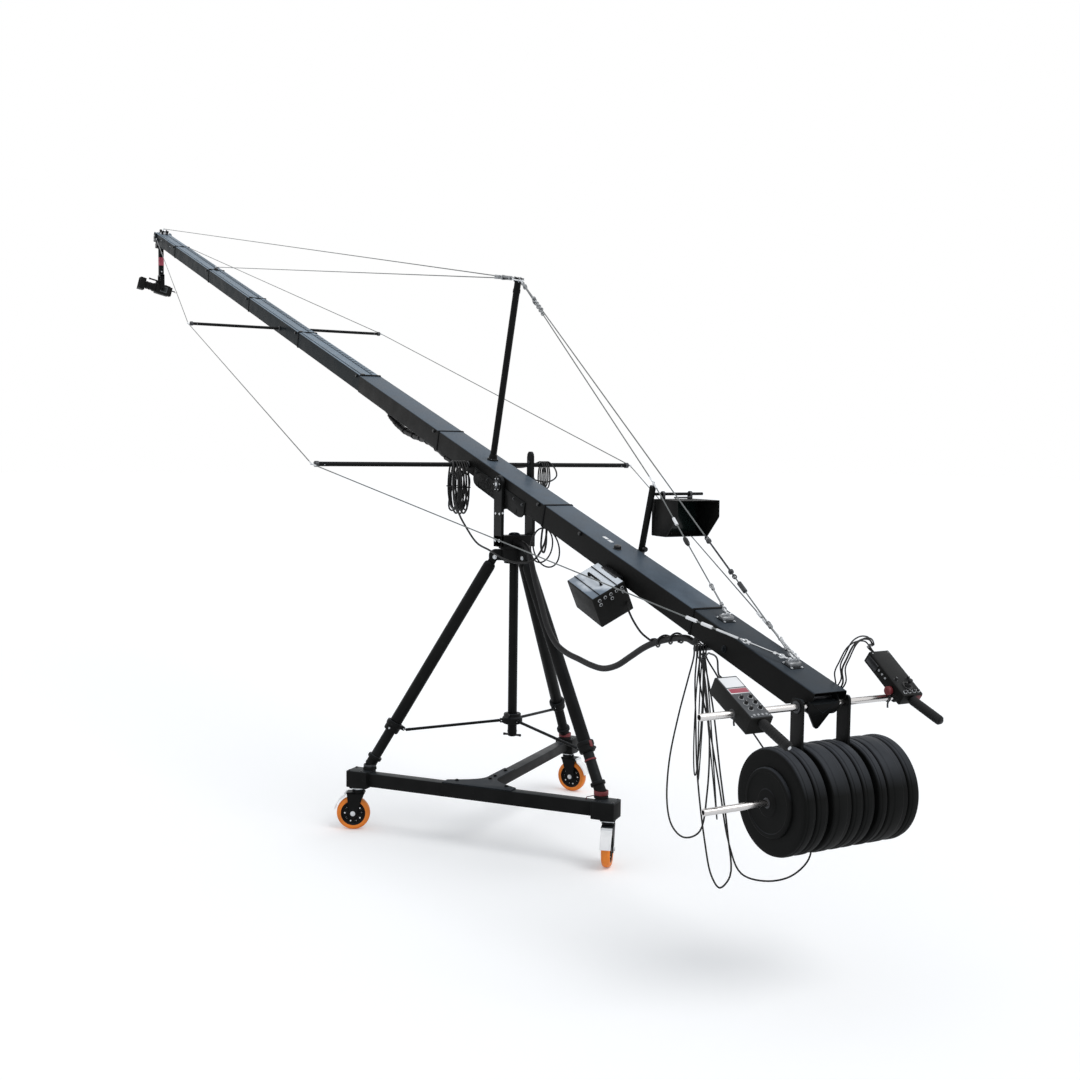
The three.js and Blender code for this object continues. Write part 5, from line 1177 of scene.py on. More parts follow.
def tip():
    piece = Piece("boom_tip_dressed", BOOM, "boom", "boom_tip")
    half = FRONT_HALF
    cut_length, cut_rise = 62, 48
    cut = TIP_END - cut_length
    low, high = FRONT_JOINT + SEAM_GAP, TIP_END - SEAM_GAP
    places = ((low, -1.0), (low + 1.5, 0.0), (cut - 2, 0.0), (high - 1.5, 0.0), (high, -1.0))
    rings = [box_ring(half, x, True, grow=grow) for x, grow in places]
    for ring in rings[-2:]:
        for spot in ring:
            spot.z = max(spot.z, BOOM_BOTTOM + cut_rise * (spot.x - cut) / cut_length)
    # The tip takes the paint copy with the strongest painted sheen
    section_body(piece, rings, low, half, True, "front_black_painted_sheen_strong")
    pivot, height = HEAD_PIVOT[0], HEAD_PIVOT[2]
    for way in (-1, 1):
        at = (FRONT_JOINT + 78, way * (half - 1), BOOM_TOP - 18)
        head = [(0, 0), (10, 0), (10, 12), (8, 13), (0, 13)]
        piece.add("knob_black", spun(at, (at[0], way * half, at[2]), head, 20, 1))
        ear = [(TIP_END - 20, -46), (pivot + 12, -46)] + arc(pivot, height, 24, -50, 50, 10)
        ear += [(pivot + 12, 22), (TIP_END - 20, 22)]
        piece.add("front_black_painted_sheen_strong", plate(ear, *span(way, 44.4, 56.2), "xz", 0, 1.5))
        piece.add("zinc", rod((pivot, way * 56, height), (pivot, way * 61, height), 9, 6, 1.2))
        side_lug = [(-12, -12), (12, -12), (12, -30), (0, -38), (-12, -30)]
        side_lug = [(SIDE_LUG + x, z) for x, z in side_lug]
        piece.add("dark_steel", plate(side_lug, *span(way, half - 1, half + 22), "xz", 3, 1))
        for x in (8700, 9150):
            piece.bolt("zinc", (x, way * half, 10), (0, way, 0), 5, 4, 1)
    lug = [(TIP_LUG + x, BOOM_TOP + z) for x, z in ((-12, -1), (12, -1), (12, 42), (0, 54), (-12, 42))]
    piece.add("zinc", plate(lug, -19, 19, "xz", 4, 1.5))
    cap = [(0, 0), (15, 0), (15, 6), (11, 8), (11, 26), (17, 30), (17, 46), (12, 50), (0, 50)]
    for x in (9340, 9425):
        for y in (-27, 27):
            piece.add("knob_black", spun((x, y, BOOM_TOP), (x, y, BOOM_TOP + 1), cap, 20, 1.2))
    for start, end, rise, reach in ((9440, 9478, 22, 40), (9355, 9382, 20, 44)):
        saddle = band(BOOM_TOP - 2, BOOM_TOP + rise, start, end)
        piece.add("pale_plate", plate(saddle, -reach, reach, "xz", 4, 1.5))
    for way in (-1, 1):
        cheek = [(9400, -48), (9478, -56), (9486, -30), (9486, 30), (9470, BOOM_TOP + 10),
                 (9400, BOOM_TOP + 4)]
        piece.add("front_black_painted_sheen_strong", plate(cheek, *span(way, half - 1, half + 16), "xz", 6, 2))
        for z in (20, -24):
            piece.bolt("zinc", (9440, way * (half + 16), z), (0, way, 0), 8, 6, 1)
    piece.done()


def cradle():
    piece = Piece("tilt_cradle_dressed", BOOM, "boom", "tilt_cradle")
    wall, depth, rear, front, end = 5.5, 41, -320, 370, 80
    inner = BOOM_HALF + 0.3
    outer = inner + wall
    low = BOOM_BOTTOM - depth
    side = [(rear, -10), (rear, BOOM_BOTTOM)]
    side += [(rear + end * t * t, BOOM_BOTTOM - depth * (1 - (1 - t) ** 2)) for t in (0.25, 0.5, 0.75, 1)]
    side += [(front - end * (1 - t) ** 2, low + depth * t * t) for t in (0, 0.25, 0.5, 0.75)]
    side += [(front, BOOM_BOTTOM), (front, -10)]
    for way in (-1, 1):
        piece.add("frame_black", plate(side, *span(way, inner, outer), "xz", 4, 1.2))
        piece.add("frame_black", rod((0, way * inner, 0), (0, way * (inner + 4), 0), 44, 56, 1))
        piece.add("dark_steel", rod((0, way * inner, 0), (0, way * 127, 0), 24.6, 40, 2))
        piece.add("zinc", rod((0, way * 125, 0), (0, way * 127.6, 0), 13, 6, 1.5))
        for x in (-290, -180, 180, 335):
            piece.bolt("dark_steel", (x, way * outer, -30), (0, way, 0), 7, 5, 1.2)
    piece.add("frame_black", block(rear + end, front - end, -outer, outer, low, low + wall, 1.5))
    for x in (rear + end, front - end - 10):
        piece.add("frame_black", block(x, x + 10, -outer, outer, low, BOOM_BOTTOM - 0.3, 1.5))
    half, fillet = 93, 32
    piece.add("frame_black", block(-47, 47, -half, half, low - 26, low + 2, 2))
    for way in (-1, 1):
        corner = [(half, low - 24), (half, low - 58)]
        corner += arc(half - fillet, low - 58, fillet, 11, 88, 7) + [(60, low - 24)]
        piece.add("frame_black", plate([(way * y, z) for y, z in corner], -46, 46, "yz", 0, 0.8))
    piece.done()


boom_sections()
tail()
tip()
cradle()


# Masts, outriggers and wires
MAST_PLACE = 324
MAST_TOP = 1150
SMALL_PLACE, SMALL_Y = SMALL_MAST
ANCHOR_EYE = BOOM_TOP + 22 + 8.3


def masts():
    main = Piece("main_mast_dressed", BOOM, "boom", "main_mast")
    foot = BOOM_TOP + 0.3
    profile = [(0, foot), (34, foot), (34, foot + 8), (27, foot + 12), (24, foot + 30), (20, foot + 36),
               (20, 1080), (22.5, 1084), (22.5, 1104), (20, 1108), (20, MAST_TOP), (25, MAST_TOP),
               (25, MAST_TOP + 24), (0, MAST_TOP + 24)]
    main.add("frame_black", turned(profile, 48, 1.5), turn=Matrix.Translation((MAST_PLACE, 0, 0)))
    for x, y in around(4, 29, 45):
        main.bolt("zinc", (MAST_PLACE + x, y, foot + 8), (0, 0, 1), 3.2, 3, 0.6)
    for y in (-8, 8):
        staple = [(MAST_PLACE + x, y, MAST_TOP + z) for x, z in ((-12, 22), (-12, 24), (12, 24), (12, 22))]
        main.add("zinc", sweep(staple, 2, 8))
    main.done()
    small = Piece("small_mast_dressed", BOOM, "boom", "small_mast")
    small.add("frame_black", rod((SMALL_PLACE, SMALL_Y, -20), (SMALL_PLACE, SMALL_Y, 400), 17, 36, 2))
    rail_end = (SMALL_PLACE, SMALL_Y - 320, RAIL_HEIGHT)
    small.add("frame_black", rod((SMALL_PLACE, SMALL_Y, RAIL_HEIGHT), rail_end, 7.8, 24, 2))
    small.add("zinc", rod((SMALL_PLACE, SMALL_Y, 396), (SMALL_PLACE, SMALL_Y, 407), 4, 16, 0.8))
    for z in (10, 40):
        low, high = z - 7, z + 7
        foot_place = Matrix.Translation((SMALL_PLACE, SMALL_Y, 0))
        small.add("dark_steel", turned(band(low, high, 17, 20), 36, 1, True), turn=foot_place)
        small.add("dark_steel", block(SMALL_PLACE - 22, SMALL_PLACE + 22, SMALL_Y + 2,
                                      SMALL_Y + 17.2, low, high, 2))
    knob = [(0, 0), (8, 0), (8, 6), (14, 8), (14, 24), (10, 27), (0, 28)]
    small.add("knob_black", spun((SMALL_PLACE - 15, SMALL_Y, 65),
                                 (SMALL_PLACE - 16, SMALL_Y, 65), knob, 12, 2))
    small.done()


def outrigger(name, x, half, radius):
    piece = Piece(name + "_dressed", BOOM, "boom", name)
    z = OUTRIGGER_HEIGHT
    piece.add("frame_black", rod((x, -half, z), (x, half, z), radius, 32, 2))
    side = BOOM_HALF if x < 2000 else FRONT_HALF
    for way in (-1, 1):
        end = [(0, 0), (radius * 1.3, 0), (18, 4), (18, 22), (14, 26), (0, 26)]
        piece.add("dark_steel", spun((x, way * (half - 26), z), (x, way * half, z), end, 28, 1.5))
        piece.add("zinc", rod((x, way * half, z), (x, way * (half + 7), z), 4, 16, 1))
        collar = [(radius, 0), (radius + 9, 0), (radius + 9, 5), (radius + 3, 12), (radius, 12)]
        piece.add("dark_steel", spun((x, way * side, z), (x, way * (side + 1), z), collar, 32, 1.2, True))
        y, reach = way * (half - 60), radius + 3
        piece.add("zinc", rod((x - reach, y, z), (x + reach, y, z), 2.4, 12, 0.5))
    piece.done()


def wire_end(piece, point, way, reach=46):
    way = Vector(way).normalized()
    point = Vector(point)
    piece.add("zinc", rod(point + way * 12, point + way * reach, 4.6, 16, 1.2))
    side = way.orthogonal().normalized()
    loop = [point + (way * (math.cos(a) * 9 + 4) + side * math.sin(a) * 6.5) for a in angles(16)]
    piece.add("zinc", sweep(loop, 2.2, 10, True))


def chain(piece, start, back, links, material="dark_steel"):
    side = back.orthogonal().normalized()
    for k in range(links):
        centre = start + back * (16 * k)
        across = side if k % 2 else back.cross(side)
        loop = [centre + back * math.cos(a) * 12 + across * math.sin(a) * 8 for a in angles(14)]
        piece.add(material, sweep(loop, 3.2, 8, True))


def turnbuckle(piece, end, back, start, length, material="zinc", size=1.0):
    end = Vector(end)
    back = Vector(back).normalized()
    near = end + back * start
    far = near + back * length
    side = back.orthogonal().normalized()
    for way in (-1, 1):
        aside = side * way * 9 * size
        piece.add(material, rod(near + back * 8 + aside, far - back * 8 + aside, 3.8 * size, 12, 0.8))
    for a, b in ((near - back * 2, near + back * 14), (far - back * 14, far + back * 2)):
        piece.add(material, rod(a, b, 13 * size, 6, 2))
    piece.add("dark_steel", rod(near + back * 14, far - back * 14, 4.0, 12, 0.5))
    chain(piece, near - back * 28, back, 2, material)
    chain(piece, far + back * 12, back, 2, material)


def sleeve(piece, start, back, near, length, radius=7.0, material="zinc"):
    piece.add(material, rod(start + back * near, start + back * (near + length), radius, 20, 2))


def wire(piece, points, normals):
    points = [Vector(p) for p in points]
    for a, b in zip(points, points[1:]):
        way = (b - a).normalized()
        piece.add("wire_steel", rod(a + way * 8, b - way * 8, 3.3, 10, 0.5))
        wire_end(piece, a, way)
        wire_end(piece, b, -way)
    for point, normal in zip(points, normals):
        normal = Vector(normal)
        piece.add("zinc", rod(point - normal * 8, point + normal * 8, 6.4, 20, 1.2))


def wires():
    stay = Piece("stay_wires_dressed", BOOM, "boom", "stay_wires")
    ring_height = MAST_TOP + 12
    ring_radius = 33.3
    ring = [(MAST_PLACE + x, y, ring_height) for x, y in around(40, ring_radius)]
    stay.add("zinc", sweep(ring, 4.2, 12, True))
    front = Vector((MAST_PLACE + ring_radius, 0, ring_height))
    rear = Vector((MAST_PLACE - ring_radius, 0, ring_height))
    far_front = Vector((TIP_LUG, 0, BOOM_TOP + 54 + 8.3))
    near_front = Vector((MID_LUG, 0, ANCHOR_EYE))
    rear_anchor = Vector((REAR_ANCHOR, 0, ANCHOR_EYE))
    front_anchor = Vector((FRONT_ANCHOR, 0, ANCHOR_EYE))
    small_top = Vector((SMALL_PLACE, SMALL_Y, 400 + 15.3))
    up = (0, 0, 1)
    wire(stay, [front, near_front], [up, up])
    wire(stay, [front, far_front], [up, up])
    wire(stay, [rear, rear_anchor], [up, up])
    wire(stay, [rear, small_top, front_anchor], [up, up, up])
    for target in (near_front, far_front):
        back = (target - front).normalized()
        turnbuckle(stay, front, back, 60, 110, "shackle_steel")
        sleeve(stay, front, back, 215, 60, 7, "shackle_steel")
    turnbuckle(stay, rear_anchor, rear - rear_anchor, 560, 230, "dark_steel")
    sleeve(stay, rear_anchor, (rear - rear_anchor).normalized(), 430, 60, 11, "dark_steel")
    turnbuckle(stay, rear_anchor, rear - rear_anchor, 60, 150, "shackle_steel", 0.8)
    for target in (rear_anchor, small_top):
        back = (target - rear).normalized()
        turnbuckle(stay, rear, target - rear, 60, 150, "shackle_steel")
        chain(stay, rear + back * 255, back, 5, "shackle_steel")
    for x, y in around(5, 1, 20):
        knuckle = Vector((MAST_PLACE + 27 * x, 27 * y, ring_height))
        chain(stay, knuckle, Vector((x * 0.3, y * 0.3, 1)).normalized(), 1, "shackle_steel")
    down = (front_anchor - small_top).normalized()
    sleeve(stay, small_top, down, 285, 50, 8, "white_face")
    egg = [(3, 0), (8, 0), (12, 14), (12, 40), (7, 58), (3, 58)]
    stay.add("knob_black", spun(small_top + down * 435, small_top + down * 436, egg, 20, 2, True))
    turnbuckle(stay, front_anchor, small_top - front_anchor, 60, 120, "shackle_steel", 0.7)
    stay.done()
    for name, way in (("side_wire_left", 1), ("side_wire_right", -1)):
        piece = Piece(name + "_dressed", BOOM, "boom", name)
        aside = (0, 1, 0)
        points = [(SIDE_LUG, way * (FRONT_HALF + 13.2), -12 + 8.3),
                  (FRONT_OUTRIGGER_PLACE, way * (FRONT_OUTRIGGER_HALF + 15.3), OUTRIGGER_HEIGHT),
                  (OUTRIGGER_PLACE, way * (OUTRIGGER_HALF + 15.3), OUTRIGGER_HEIGHT),
                  (REAR_ANCHOR, way * 64 / 3, ANCHOR_EYE)]
        wire(piece, points, [up, aside, aside, up])
        end = Vector(points[-1])
        back = (Vector(points[-2]) - end).normalized()
        turnbuckle(piece, end, back, 70, 150, "zinc", 0.6)
        sleeve(piece, end, back, 270, 120, 5.5)
        for near in (413, 499):
            sleeve(piece, end, back, near, 60, 8, "white_face")
        piece.done()


masts()
outrigger("outrigger_rear", OUTRIGGER_PLACE, OUTRIGGER_HALF, 14)
outrigger("outrigger_front", FRONT_OUTRIGGER_PLACE, FRONT_OUTRIGGER_HALF, 12.5)
wires()


# A wrap holds the head cable's slack in one thick bundle under the boom
def belly_wrap():
    points = smooth_route(head_cable()[3:11], 8)
    rings = []
    for i, point in enumerate(points):
        share = i / (len(points) - 1)
        swell = 9 + 13 * math.sin(math.pi * share) ** 0.5 + 1.2 * math.sin(i * 1.7)
        after = points[min(i + 1, len(points) - 1)]
        before = points[max(i - 1, 0)]
        way = (after - before).normalized()
        aside = Vector((0, 1, 0))
        lift = way.cross(aside).normalized()
        wide, tall = aside * swell * 1.5, lift * swell
        rings.append([point + wide * math.cos(a) + tall * math.sin(a) for a in angles(20)])
    piece = Piece("belly_wrap", WORLD, "boom")
    piece.add("sleeve_black", loft(rings))
    for i in range(3, len(rings) - 2, 7):
        piece.add("seam_black", sweep([centre_out(rings[i], spot, 1.5) for spot in rings[i]], 2.4, 8, True))
    piece.done()


def centre_out(ring, spot, reach):
    middle = sum(ring, Vector()) / len(ring)
    return spot + (spot - middle).normalized() * reach


# A thin lead runs from the box down to the harness and winds round it
def box_lead():
    core = smooth_route(harness(), 8)
    core = [point for point in core if -1760 < point.x < -1490]
    start = on_boom(-1486, 78, -142)
    points = [start, start + Vector((-14, 0, -46)), start.lerp(core[0], 0.55) + Vector((6, 0, -34))]
    piece = Piece("box_lead", WORLD, "boom")
    winding = []
    for i in range(61):
        share = i / 60
        spot = core[min(int(share * (len(core) - 1)), len(core) - 2)]
        after = core[min(int(share * (len(core) - 1)) + 1, len(core) - 1)]
        spot = spot.lerp(after, share * (len(core) - 1) % 1)
        reach = 21.5 + 5 * math.sin(share * 9) ** 2
        angle = 2 * math.pi * 2.7 * share + 1
        winding.append(spot + Vector((0, math.cos(angle) * reach, math.sin(angle) * reach)))
    piece.add("cable_black", sweep(smooth_route(points + winding[:1], 10), 5.5, 12))
    piece.add("cable_black", sweep(winding, 5.0, 10))
    piece.done()


# Loose strands hang in front of the control cable, and loose turns lie on the hank and behind the yoke
def loose_strands():
    piece = Piece("loose_strands", WORLD, "boom")
    for x, y, depth, wide, lean in ((-2140, 160, 568, 26, 32), (-2100, 120, 604, 15, 22),
                                    (-2118, 132, 740, 11, -126)):
        hung = []
        for i in range(41):
            a = 2 * math.pi * i / 40
            share = (1 - math.cos(a)) / 2
            aside = lean * share + wide * math.sin(a) * (0.5 + share)
            hung.append((x + aside, y + 5 * math.sin(2 * a), 1375 - depth * share))
        piece.add("cable_black", sweep(hung, 3.2, 10))
    for k in range(6):
        lean = math.radians((18, -24, 9, -13, 27, -6)[k])
        wide, tall = 58 + 6 * (k % 3), 112 + 9 * ((k * 2) % 5)
        centre = on_boom(OUTRIGGER_PLACE, 0, OUTRIGGER_HEIGHT)
        loop = []
        for a in angles(28):
            across, rise = wide * math.cos(a), tall * math.sin(a)
            x = across * math.cos(lean) - rise * math.sin(lean)
            y = 118 + 14 * k + 9 * math.sin(2 * a + k)
            z = across * math.sin(lean) + rise * math.cos(lean) - 160
            loop.append(centre + Vector((x, y, z)))
        piece.add("cable_black", sweep(loop, 5.5, 12, True))
    centre, across = Vector((-446, 48, 1728)), Vector((-0.482, -0.876, 0))
    for wide, tall, turn in ((74, 112, 0.15), (62, 98, -0.1)):
        loop = []
        for a in angles(32):
            aside = wide * math.sin(a) + tall * turn * (1 - math.cos(a))
            depth = across.cross(Vector((0, 0, 1))) * 14 * math.sin(a + turn * 6)
            loop.append(centre + across * aside + depth + Vector((0, 0, tall * math.cos(a) + 112 - tall)))
        piece.add("cable_black", sweep(loop, 4.5, 12, True))
    piece.done()


# A tie round the left hank
def hank_tie():
    centre = on_boom(OUTRIGGER_PLACE, 150, OUTRIGGER_HEIGHT)
    piece = Piece("hank_tie", WORLD, "boom")
    corners = ((-86, 108, -140), (-86, 204, -140), (86, 204, -134), (86, 108, -134))
    loop = [(centre.x + x, y, centre.z + z) for x, y, z in corners]
    piece.add("seam_black", sweep(soften(loop, 20, True, 4), 3.0, 10, True))
    piece.done()


belly_wrap()
box_lead()
loose_strands()
hank_tie()


# Handle bar, hanger and plates
def handle_bar():
    piece = Piece("handle_bar_dressed", BOOM, "boom", "handle_bar")
    x, _, z = BAR
    right_end, left_end = BAR_ENDS
    piece.add("bright_steel", rod((x, right_end, z), (x, left_end, z), 14.9, 40, 2))
    for y, way in ((right_end, -1), (left_end, 1)):
        piece.add("seam_black", rod((x, y - way * 3, z), (x, y, z), 12, 32, 0.5))
    vee = [(-82, z - 2), (-70, z + 4), (70, z + 4), (82, z - 2), (10, z - 108), (0, z - 112), (-10, z - 108)]
    piece.add("frame_black", plate(vee, x - 6, x + 6, "yz", 5, 1.2))
    shroud = [(-84, z - 19), (-84, z + 19), (84, z + 19), (84, z - 19), (66, z - 36), (-66, z - 36)]
    piece.add("frame_black", plate(shroud, x - 20, x + 20, "yz", 5, 2))
    piece.add("gusset_gray", sweep([(x - 20.5, -62, z + 14), (x - 20.5, 62, z + 14),
                                    (x - 20.5, 0, z - 30)], 2.2, 8, True))
    outer = BOOM_HALF - 3.4
    cheek = [(x - 15, z - 15), (x + 92, z - 15), (x + 92, z + 41), (x + 4, z + 41), (x - 15, z + 22)]
    for way in (-1, 1):
        piece.add("frame_black", plate(cheek, *span(way, outer - 10, outer), "xz", 8, 1))
    piece.add("dark_steel", rod((x + 30, -outer, z + 20), (x + 30, outer, z + 20), 7, 20, 1))
    piece.done()


def hanger():
    piece = Piece("weight_hanger_dressed", HANGER, "hanger", "weight_hanger")
    strap = [(-37, -419), (37, -419), (37, 18), (28, 34), (-28, 34), (-37, 18)]
    for way in (1, -1):
        piece.add("frame_black", plate(strap, *span(way, 119, 131), "xz", 6, 1.5))
        piece.add("dark_steel", spun((0, way * 131, 0), (0, way * 132, 0), band(0, 4, 15.5, 26), 36, 1, True))
    right_end, left_end = AXLE_ENDS
    piece.add("bright_steel", rod((0, right_end, -AXLE_DROP), (0, left_end, -AXLE_DROP), 14.9, 40, 2.5))
    for y, way in ((left_end, 1), (right_end, -1)):
        piece.add("seam_black", rod((0, y - way * 2.5, -AXLE_DROP), (0, y, -AXLE_DROP), 10, 28, 0.5))
    piece.done()


def plates(name, start, widths, disc):
    piece = Piece(name + "_dressed", HANGER @ shift(0, 0, -AXLE_DROP) @ turn_x(-90), "hanger", name)
    place = start
    for width in widths:
        a, b = place + 0.6, place + width - 0.6
        half = [(16, 0), (200, 0), (216, 2), (222, 7), (222, width * 0.26), (225, width * 0.3)]
        profile = [(radius, a + x) for radius, x in half] + [(radius, b - x) for radius, x in reversed(half)]
        piece.add("plate_rubber", turned(profile, 120, 2.5, True))
        place += width
    if disc:
        top = place
        face = [(16, -1), (146, -1), (146, 9), (141, 15), (128, 16), (124, 13), (60, 13), (56, 16), (16, 16)]
        piece.add("plate_rubber", turned([(radius, top + x) for radius, x in face], 120, 1.5, True))
        piece.add("dark_steel", turned(band(top + 2, top + 17, 15.6, 22), 48, 1, True))
    piece.done()


handle_bar()
hanger()
plates("weight_plates_left", 133, [64, 62], True)
plates("weight_plates_middle", -112, [60, 63, 101], False)
plates("weight_plates_right", -133 - 224, [61, 114, 49], False)


# Controllers and joystick
def knob(piece, x, y, z, radius=8.5, height=15, ring="dial_gray"):
    piece.add(ring, rod((x, y, z), (x, y, z + 1), radius + 3, 28, 0.3))
    profile = [(0, 1), (radius, 1), (radius, 4), (radius * 0.82, 6), (radius * 0.78, height), (0, height)]
    piece.add("knob_black", turned(profile, 18, 1), turn=Matrix.Translation((x, y, z)))
    piece.add("white_face", block(x, x + radius * 0.7, y - 0.6, y + 0.6, z + height - 0.3,
                                  z + height + 0.4, 0.2))


def stick_place():
    spec = CONTROLLERS["right"]
    return -spec["rear"] + 0.38 * (spec["front"] + spec["rear"]) / 2


def controller(side):
    spec = CONTROLLERS[side]
    piece = Piece(f"controller_{side}_dressed", controller_place(side), f"{side}_controller",
                  f"controller_{side}")
    rise, rear, front = spec["rise"], spec["rear"], spec["front"]
    under = rise - spec["thickness"]
    piece.add("case_black", block(-rear, front, -56, 56, under, rise - 1, 5, 3))
    piece.add("panel_gray" if side == "left" else "case_black",
              block(-rear + 7, front - 7, -50, 50, rise - 3, rise, 1.2))
    for x in (-rear + 14, front - 14):
        for y in (-44, 44):
            piece.bolt("zinc", (x, y, rise - 0.6), (0, 0, 1), 2.6, 1.2, 0)
    if under > 0:
        piece.add("dark_steel", block(-22, 22, -22, 22, 13, under + 3, 3))
    for y in (-56.5, 54):
        piece.add("dark_steel", spun((0, y, 0), (0, y + 1, 0), band(0, 2.5, 15.5, 21), 36, 0.6, True))
    piece.add("dark_steel", spun((0, -22, 0), (0, -21, 0), band(0, 44, 15.6, 24), 40, 2, True))
    lever = [(0, 22, -12), (0, 34, -20), (-8, 40, -34), (-20, 42, -46)]
    piece.add("dark_steel", sweep(smooth_route(lever, 5), 4, 12))
    lean = math.radians(spec["grip"] - spec["slope"])
    way = Vector((-math.cos(lean), 0, -math.sin(lean)))
    root = Vector((-rear + 5, 0, spec["middle"]))
    grip = [(0, -4), (15, -4), (15, 12), (20.5, 15)]
    for k in range(9):
        near = 24 + k * 16
        grip += [(21, near), (21, near + 10), (19.4, near + 12), (19.4, near + 14)]
    grip += [(21, 172), (20, 184), (12, 186), (12, 193), (0, 194)]
    piece.add("grip_rubber", spun(root, root + way, grip, 32, 1.5))
    end_material = "zinc" if side == "left" else "knob_black"
    piece.add(end_material, rod(root + way * 188, root + way * 194, 9, 6, 1))
    if side == "left":
        for x in (-52, -16, 20):
            for y in (-26, 20):
                knob(piece, x, y, rise - 0.2)
        piece.add("zinc", block(50, 86, -48, 48, rise - 1, rise + 1.2, 1.2))
        piece.add("red_strip", block(54, 82, -45, 45, rise - 0.5, rise + 2.0, 1.2))
        piece.add("white_face", block(92, 156, -46, 46, rise - 0.6, rise + 1.4, 1.2))
        for y in (-30, -10, 10, 30):
            piece.add("dial_gray", block(-96, -86, y - 5, y + 5, rise - 0.5, rise + 4, 1.2))
    else:
        for y in (-36, -13, 13, 36):
            knob(piece, -48, y, rise - 0.2, 6, 11)
        for y in (-34, 34):
            knob(piece, 26, y, rise - 0.2, 7, 13, "dark_steel")
        for x in (60, 84, 108):
            piece.add("dial_gray", rod((x, 55, rise - 22), (x, 59, rise - 22), 5, 16, 0.6))
        piece.add("dark_steel", block(120, 190, 55, 60, rise - 44, rise - 10, 2))
        piece.add("red_dark", spun((6, 55, 36), (6, 56, 36),
                                   [(0, 0), (17, 0), (20, 4), (20, 18), (15, 24), (0, 24)], 14, 2))
        boot = turned([(15, -3), (24, -3), (24, 3), (20, 6), (15, 4)], 40, 1, True)
        piece.add("knob_black", boot, turn=Matrix.Translation((stick_place(), 0, rise - 0.2)))
        piece.add("red_dark", block(-rear - 1.5, -rear + 26, -57, -20, under - 1, rise - 8, 5))
    x, z = front - 1, spec["middle"]
    piece.add("dark_steel", spun((x, 0, z), (x + 1, 0, z), band(0, 5, 4.5, 11), 6, 1, True))
    piece.done()


def joystick():
    foot = CONTROLLERS["right"]["rise"] - 15 + 0.3
    piece = Piece("joystick_dressed", controller_place("right") @ shift(stick_place(), 0, 0),
                  "stick", "joystick")
    profile = [(0, 1), (6, 2), (10, 8), (10.6, 12)]
    for k in range(4):
        near = 14 + k * 5
        wide = 10.2 - k * 1.6
        profile += [(wide, near), (wide - 2, near + 2.5)]
    profile += [(4.6, 34), (4.6, 38), (8.5, 40), (10.5, 46), (9, 53), (4, 55.5), (0, 55.8)]
    piece.add("knob_black", turned([(radius, foot + z) for radius, z in profile], 32, 1))
    piece.done()


for side in CONTROLLERS:
    controller(side)
joystick()


# Power box
def power_box():
    piece = Piece("power_box_dressed", BOOM, "boom", "power_box")
    rolled = Matrix.Translation((-1216, 289, -123)) @ turn_x(-29.3)
    piece.add("case_black", block(-268, 0, -197, 0, -178, -1.5, 6, 3), turn=rolled)
    # The lid carries painted glare in its colour
    piece.add("case_gloss_painted_glare", block(-262, -6, -191, -6, -5, 0, 2.5), turn=rolled)
    for way in (-74, 74):
        x = -134 + way * 0.82
        piece.add("dark_steel", block(x - 8, x + 8, -105, -91, -2, 4, 1.5), turn=rolled)
    handle = [(-194, -98, 0), (-194, -98, 24), (-74, -98, 24), (-74, -98, 0)]
    piece.add("seam_black", sweep(soften(handle, 14, False, 5), 5.8, 16), turn=rolled)
    for y in (-150, -46):
        bar = [(-262, y, 1), (-262, y, 3), (-8, y, 3), (-8, y, 1)]
        piece.add("seam_black", sweep(soften(bar, 2, False), 2.5, 10), turn=rolled)
    for k in range(5):
        y = -172 + k * 34
        for z in (-26, -52):
            if z == -52 and k % 2:
                continue
            socket = [(0, 0), (9.5, 0), (9.5, 2), (8, 3.2), (0, 3.2)]
            piece.add("dial_gray", spun((-267, y, z), (-268, y, z), socket, 24, 0.6), turn=rolled)
            piece.add("seam_black", rod((-269.5, y, z), (-271.1, y, z), 6, 20, 0.4), turn=rolled)
    piece.add("dark_steel", block(-1425, -1275, 88.3, 134, BOOM_BOTTOM, BOOM_BOTTOM + 46, 4))
    for x in (-1400, -1300):
        piece.bolt("zinc", (x, 134, BOOM_BOTTOM + 32), (0, 1, 0), 6, 4, 1.2)
    piece.done()


power_box()


# Monitor in its hood
def monitor():
    piece = Piece("monitor_dressed", MONITOR, "monitor_unit", "monitor")
    top, bottom = -26, -216
    left, right_side = -24, -286
    screen, back = 34 - 42, 34
    piece.add("case_black", block(screen, back, right_side, left, bottom, top, 5, 3))
    piece.add("screen_dark", block(screen - 2, screen + 2, right_side + 16, left - 16,
                                   bottom + 20, top - 16, 1))
    wall = 4
    rim = screen - 190
    side = [(screen + 3, bottom), (screen + 3, top), (rim, top), (rim, top - 190 * 0.45),
            (screen - 92, bottom)]
    for y in (left - wall, right_side):
        piece.add("case_black", plate(side, y, y + wall, "xz", 3, 1))
    piece.add("case_black", block(rim, screen + 3, right_side, left, top - wall, top, 1.5))
    piece.add("case_black", block(screen - 92, screen + 3, right_side, left, bottom, bottom + wall, 1.5))
    for y in (-70, -240):
        piece.add("dark_steel", block(-15, 15, y - 7, y + 7, top - 3, 6, 2))
        piece.add("dark_steel", spun((0, y - 7, 0), (0, y - 6, 0), band(0, 14, 8.4, 15), 32, 1, True))
    for y in (-110, -200):
        piece.add("dark_steel", rod((-60, y, top), (-60, y, top + 10), 3, 12, 0.5))
    piece.add("dark_steel", rod((-60, -100, top + 10), (-60, -210, top + 10), 4, 16, 1))
    for y in range(-250, -50, 22):
        piece.add("seam_black", block(back - 1, back + 0.8, y, y + 12, -150, -80, 0.6))
    for y in (-60, -90, -120):
        piece.add("knob_black", rod((screen - 1, y, bottom + 11), (screen - 5, y, bottom + 11), 4, 16, 0.6))
    piece.done()


monitor()


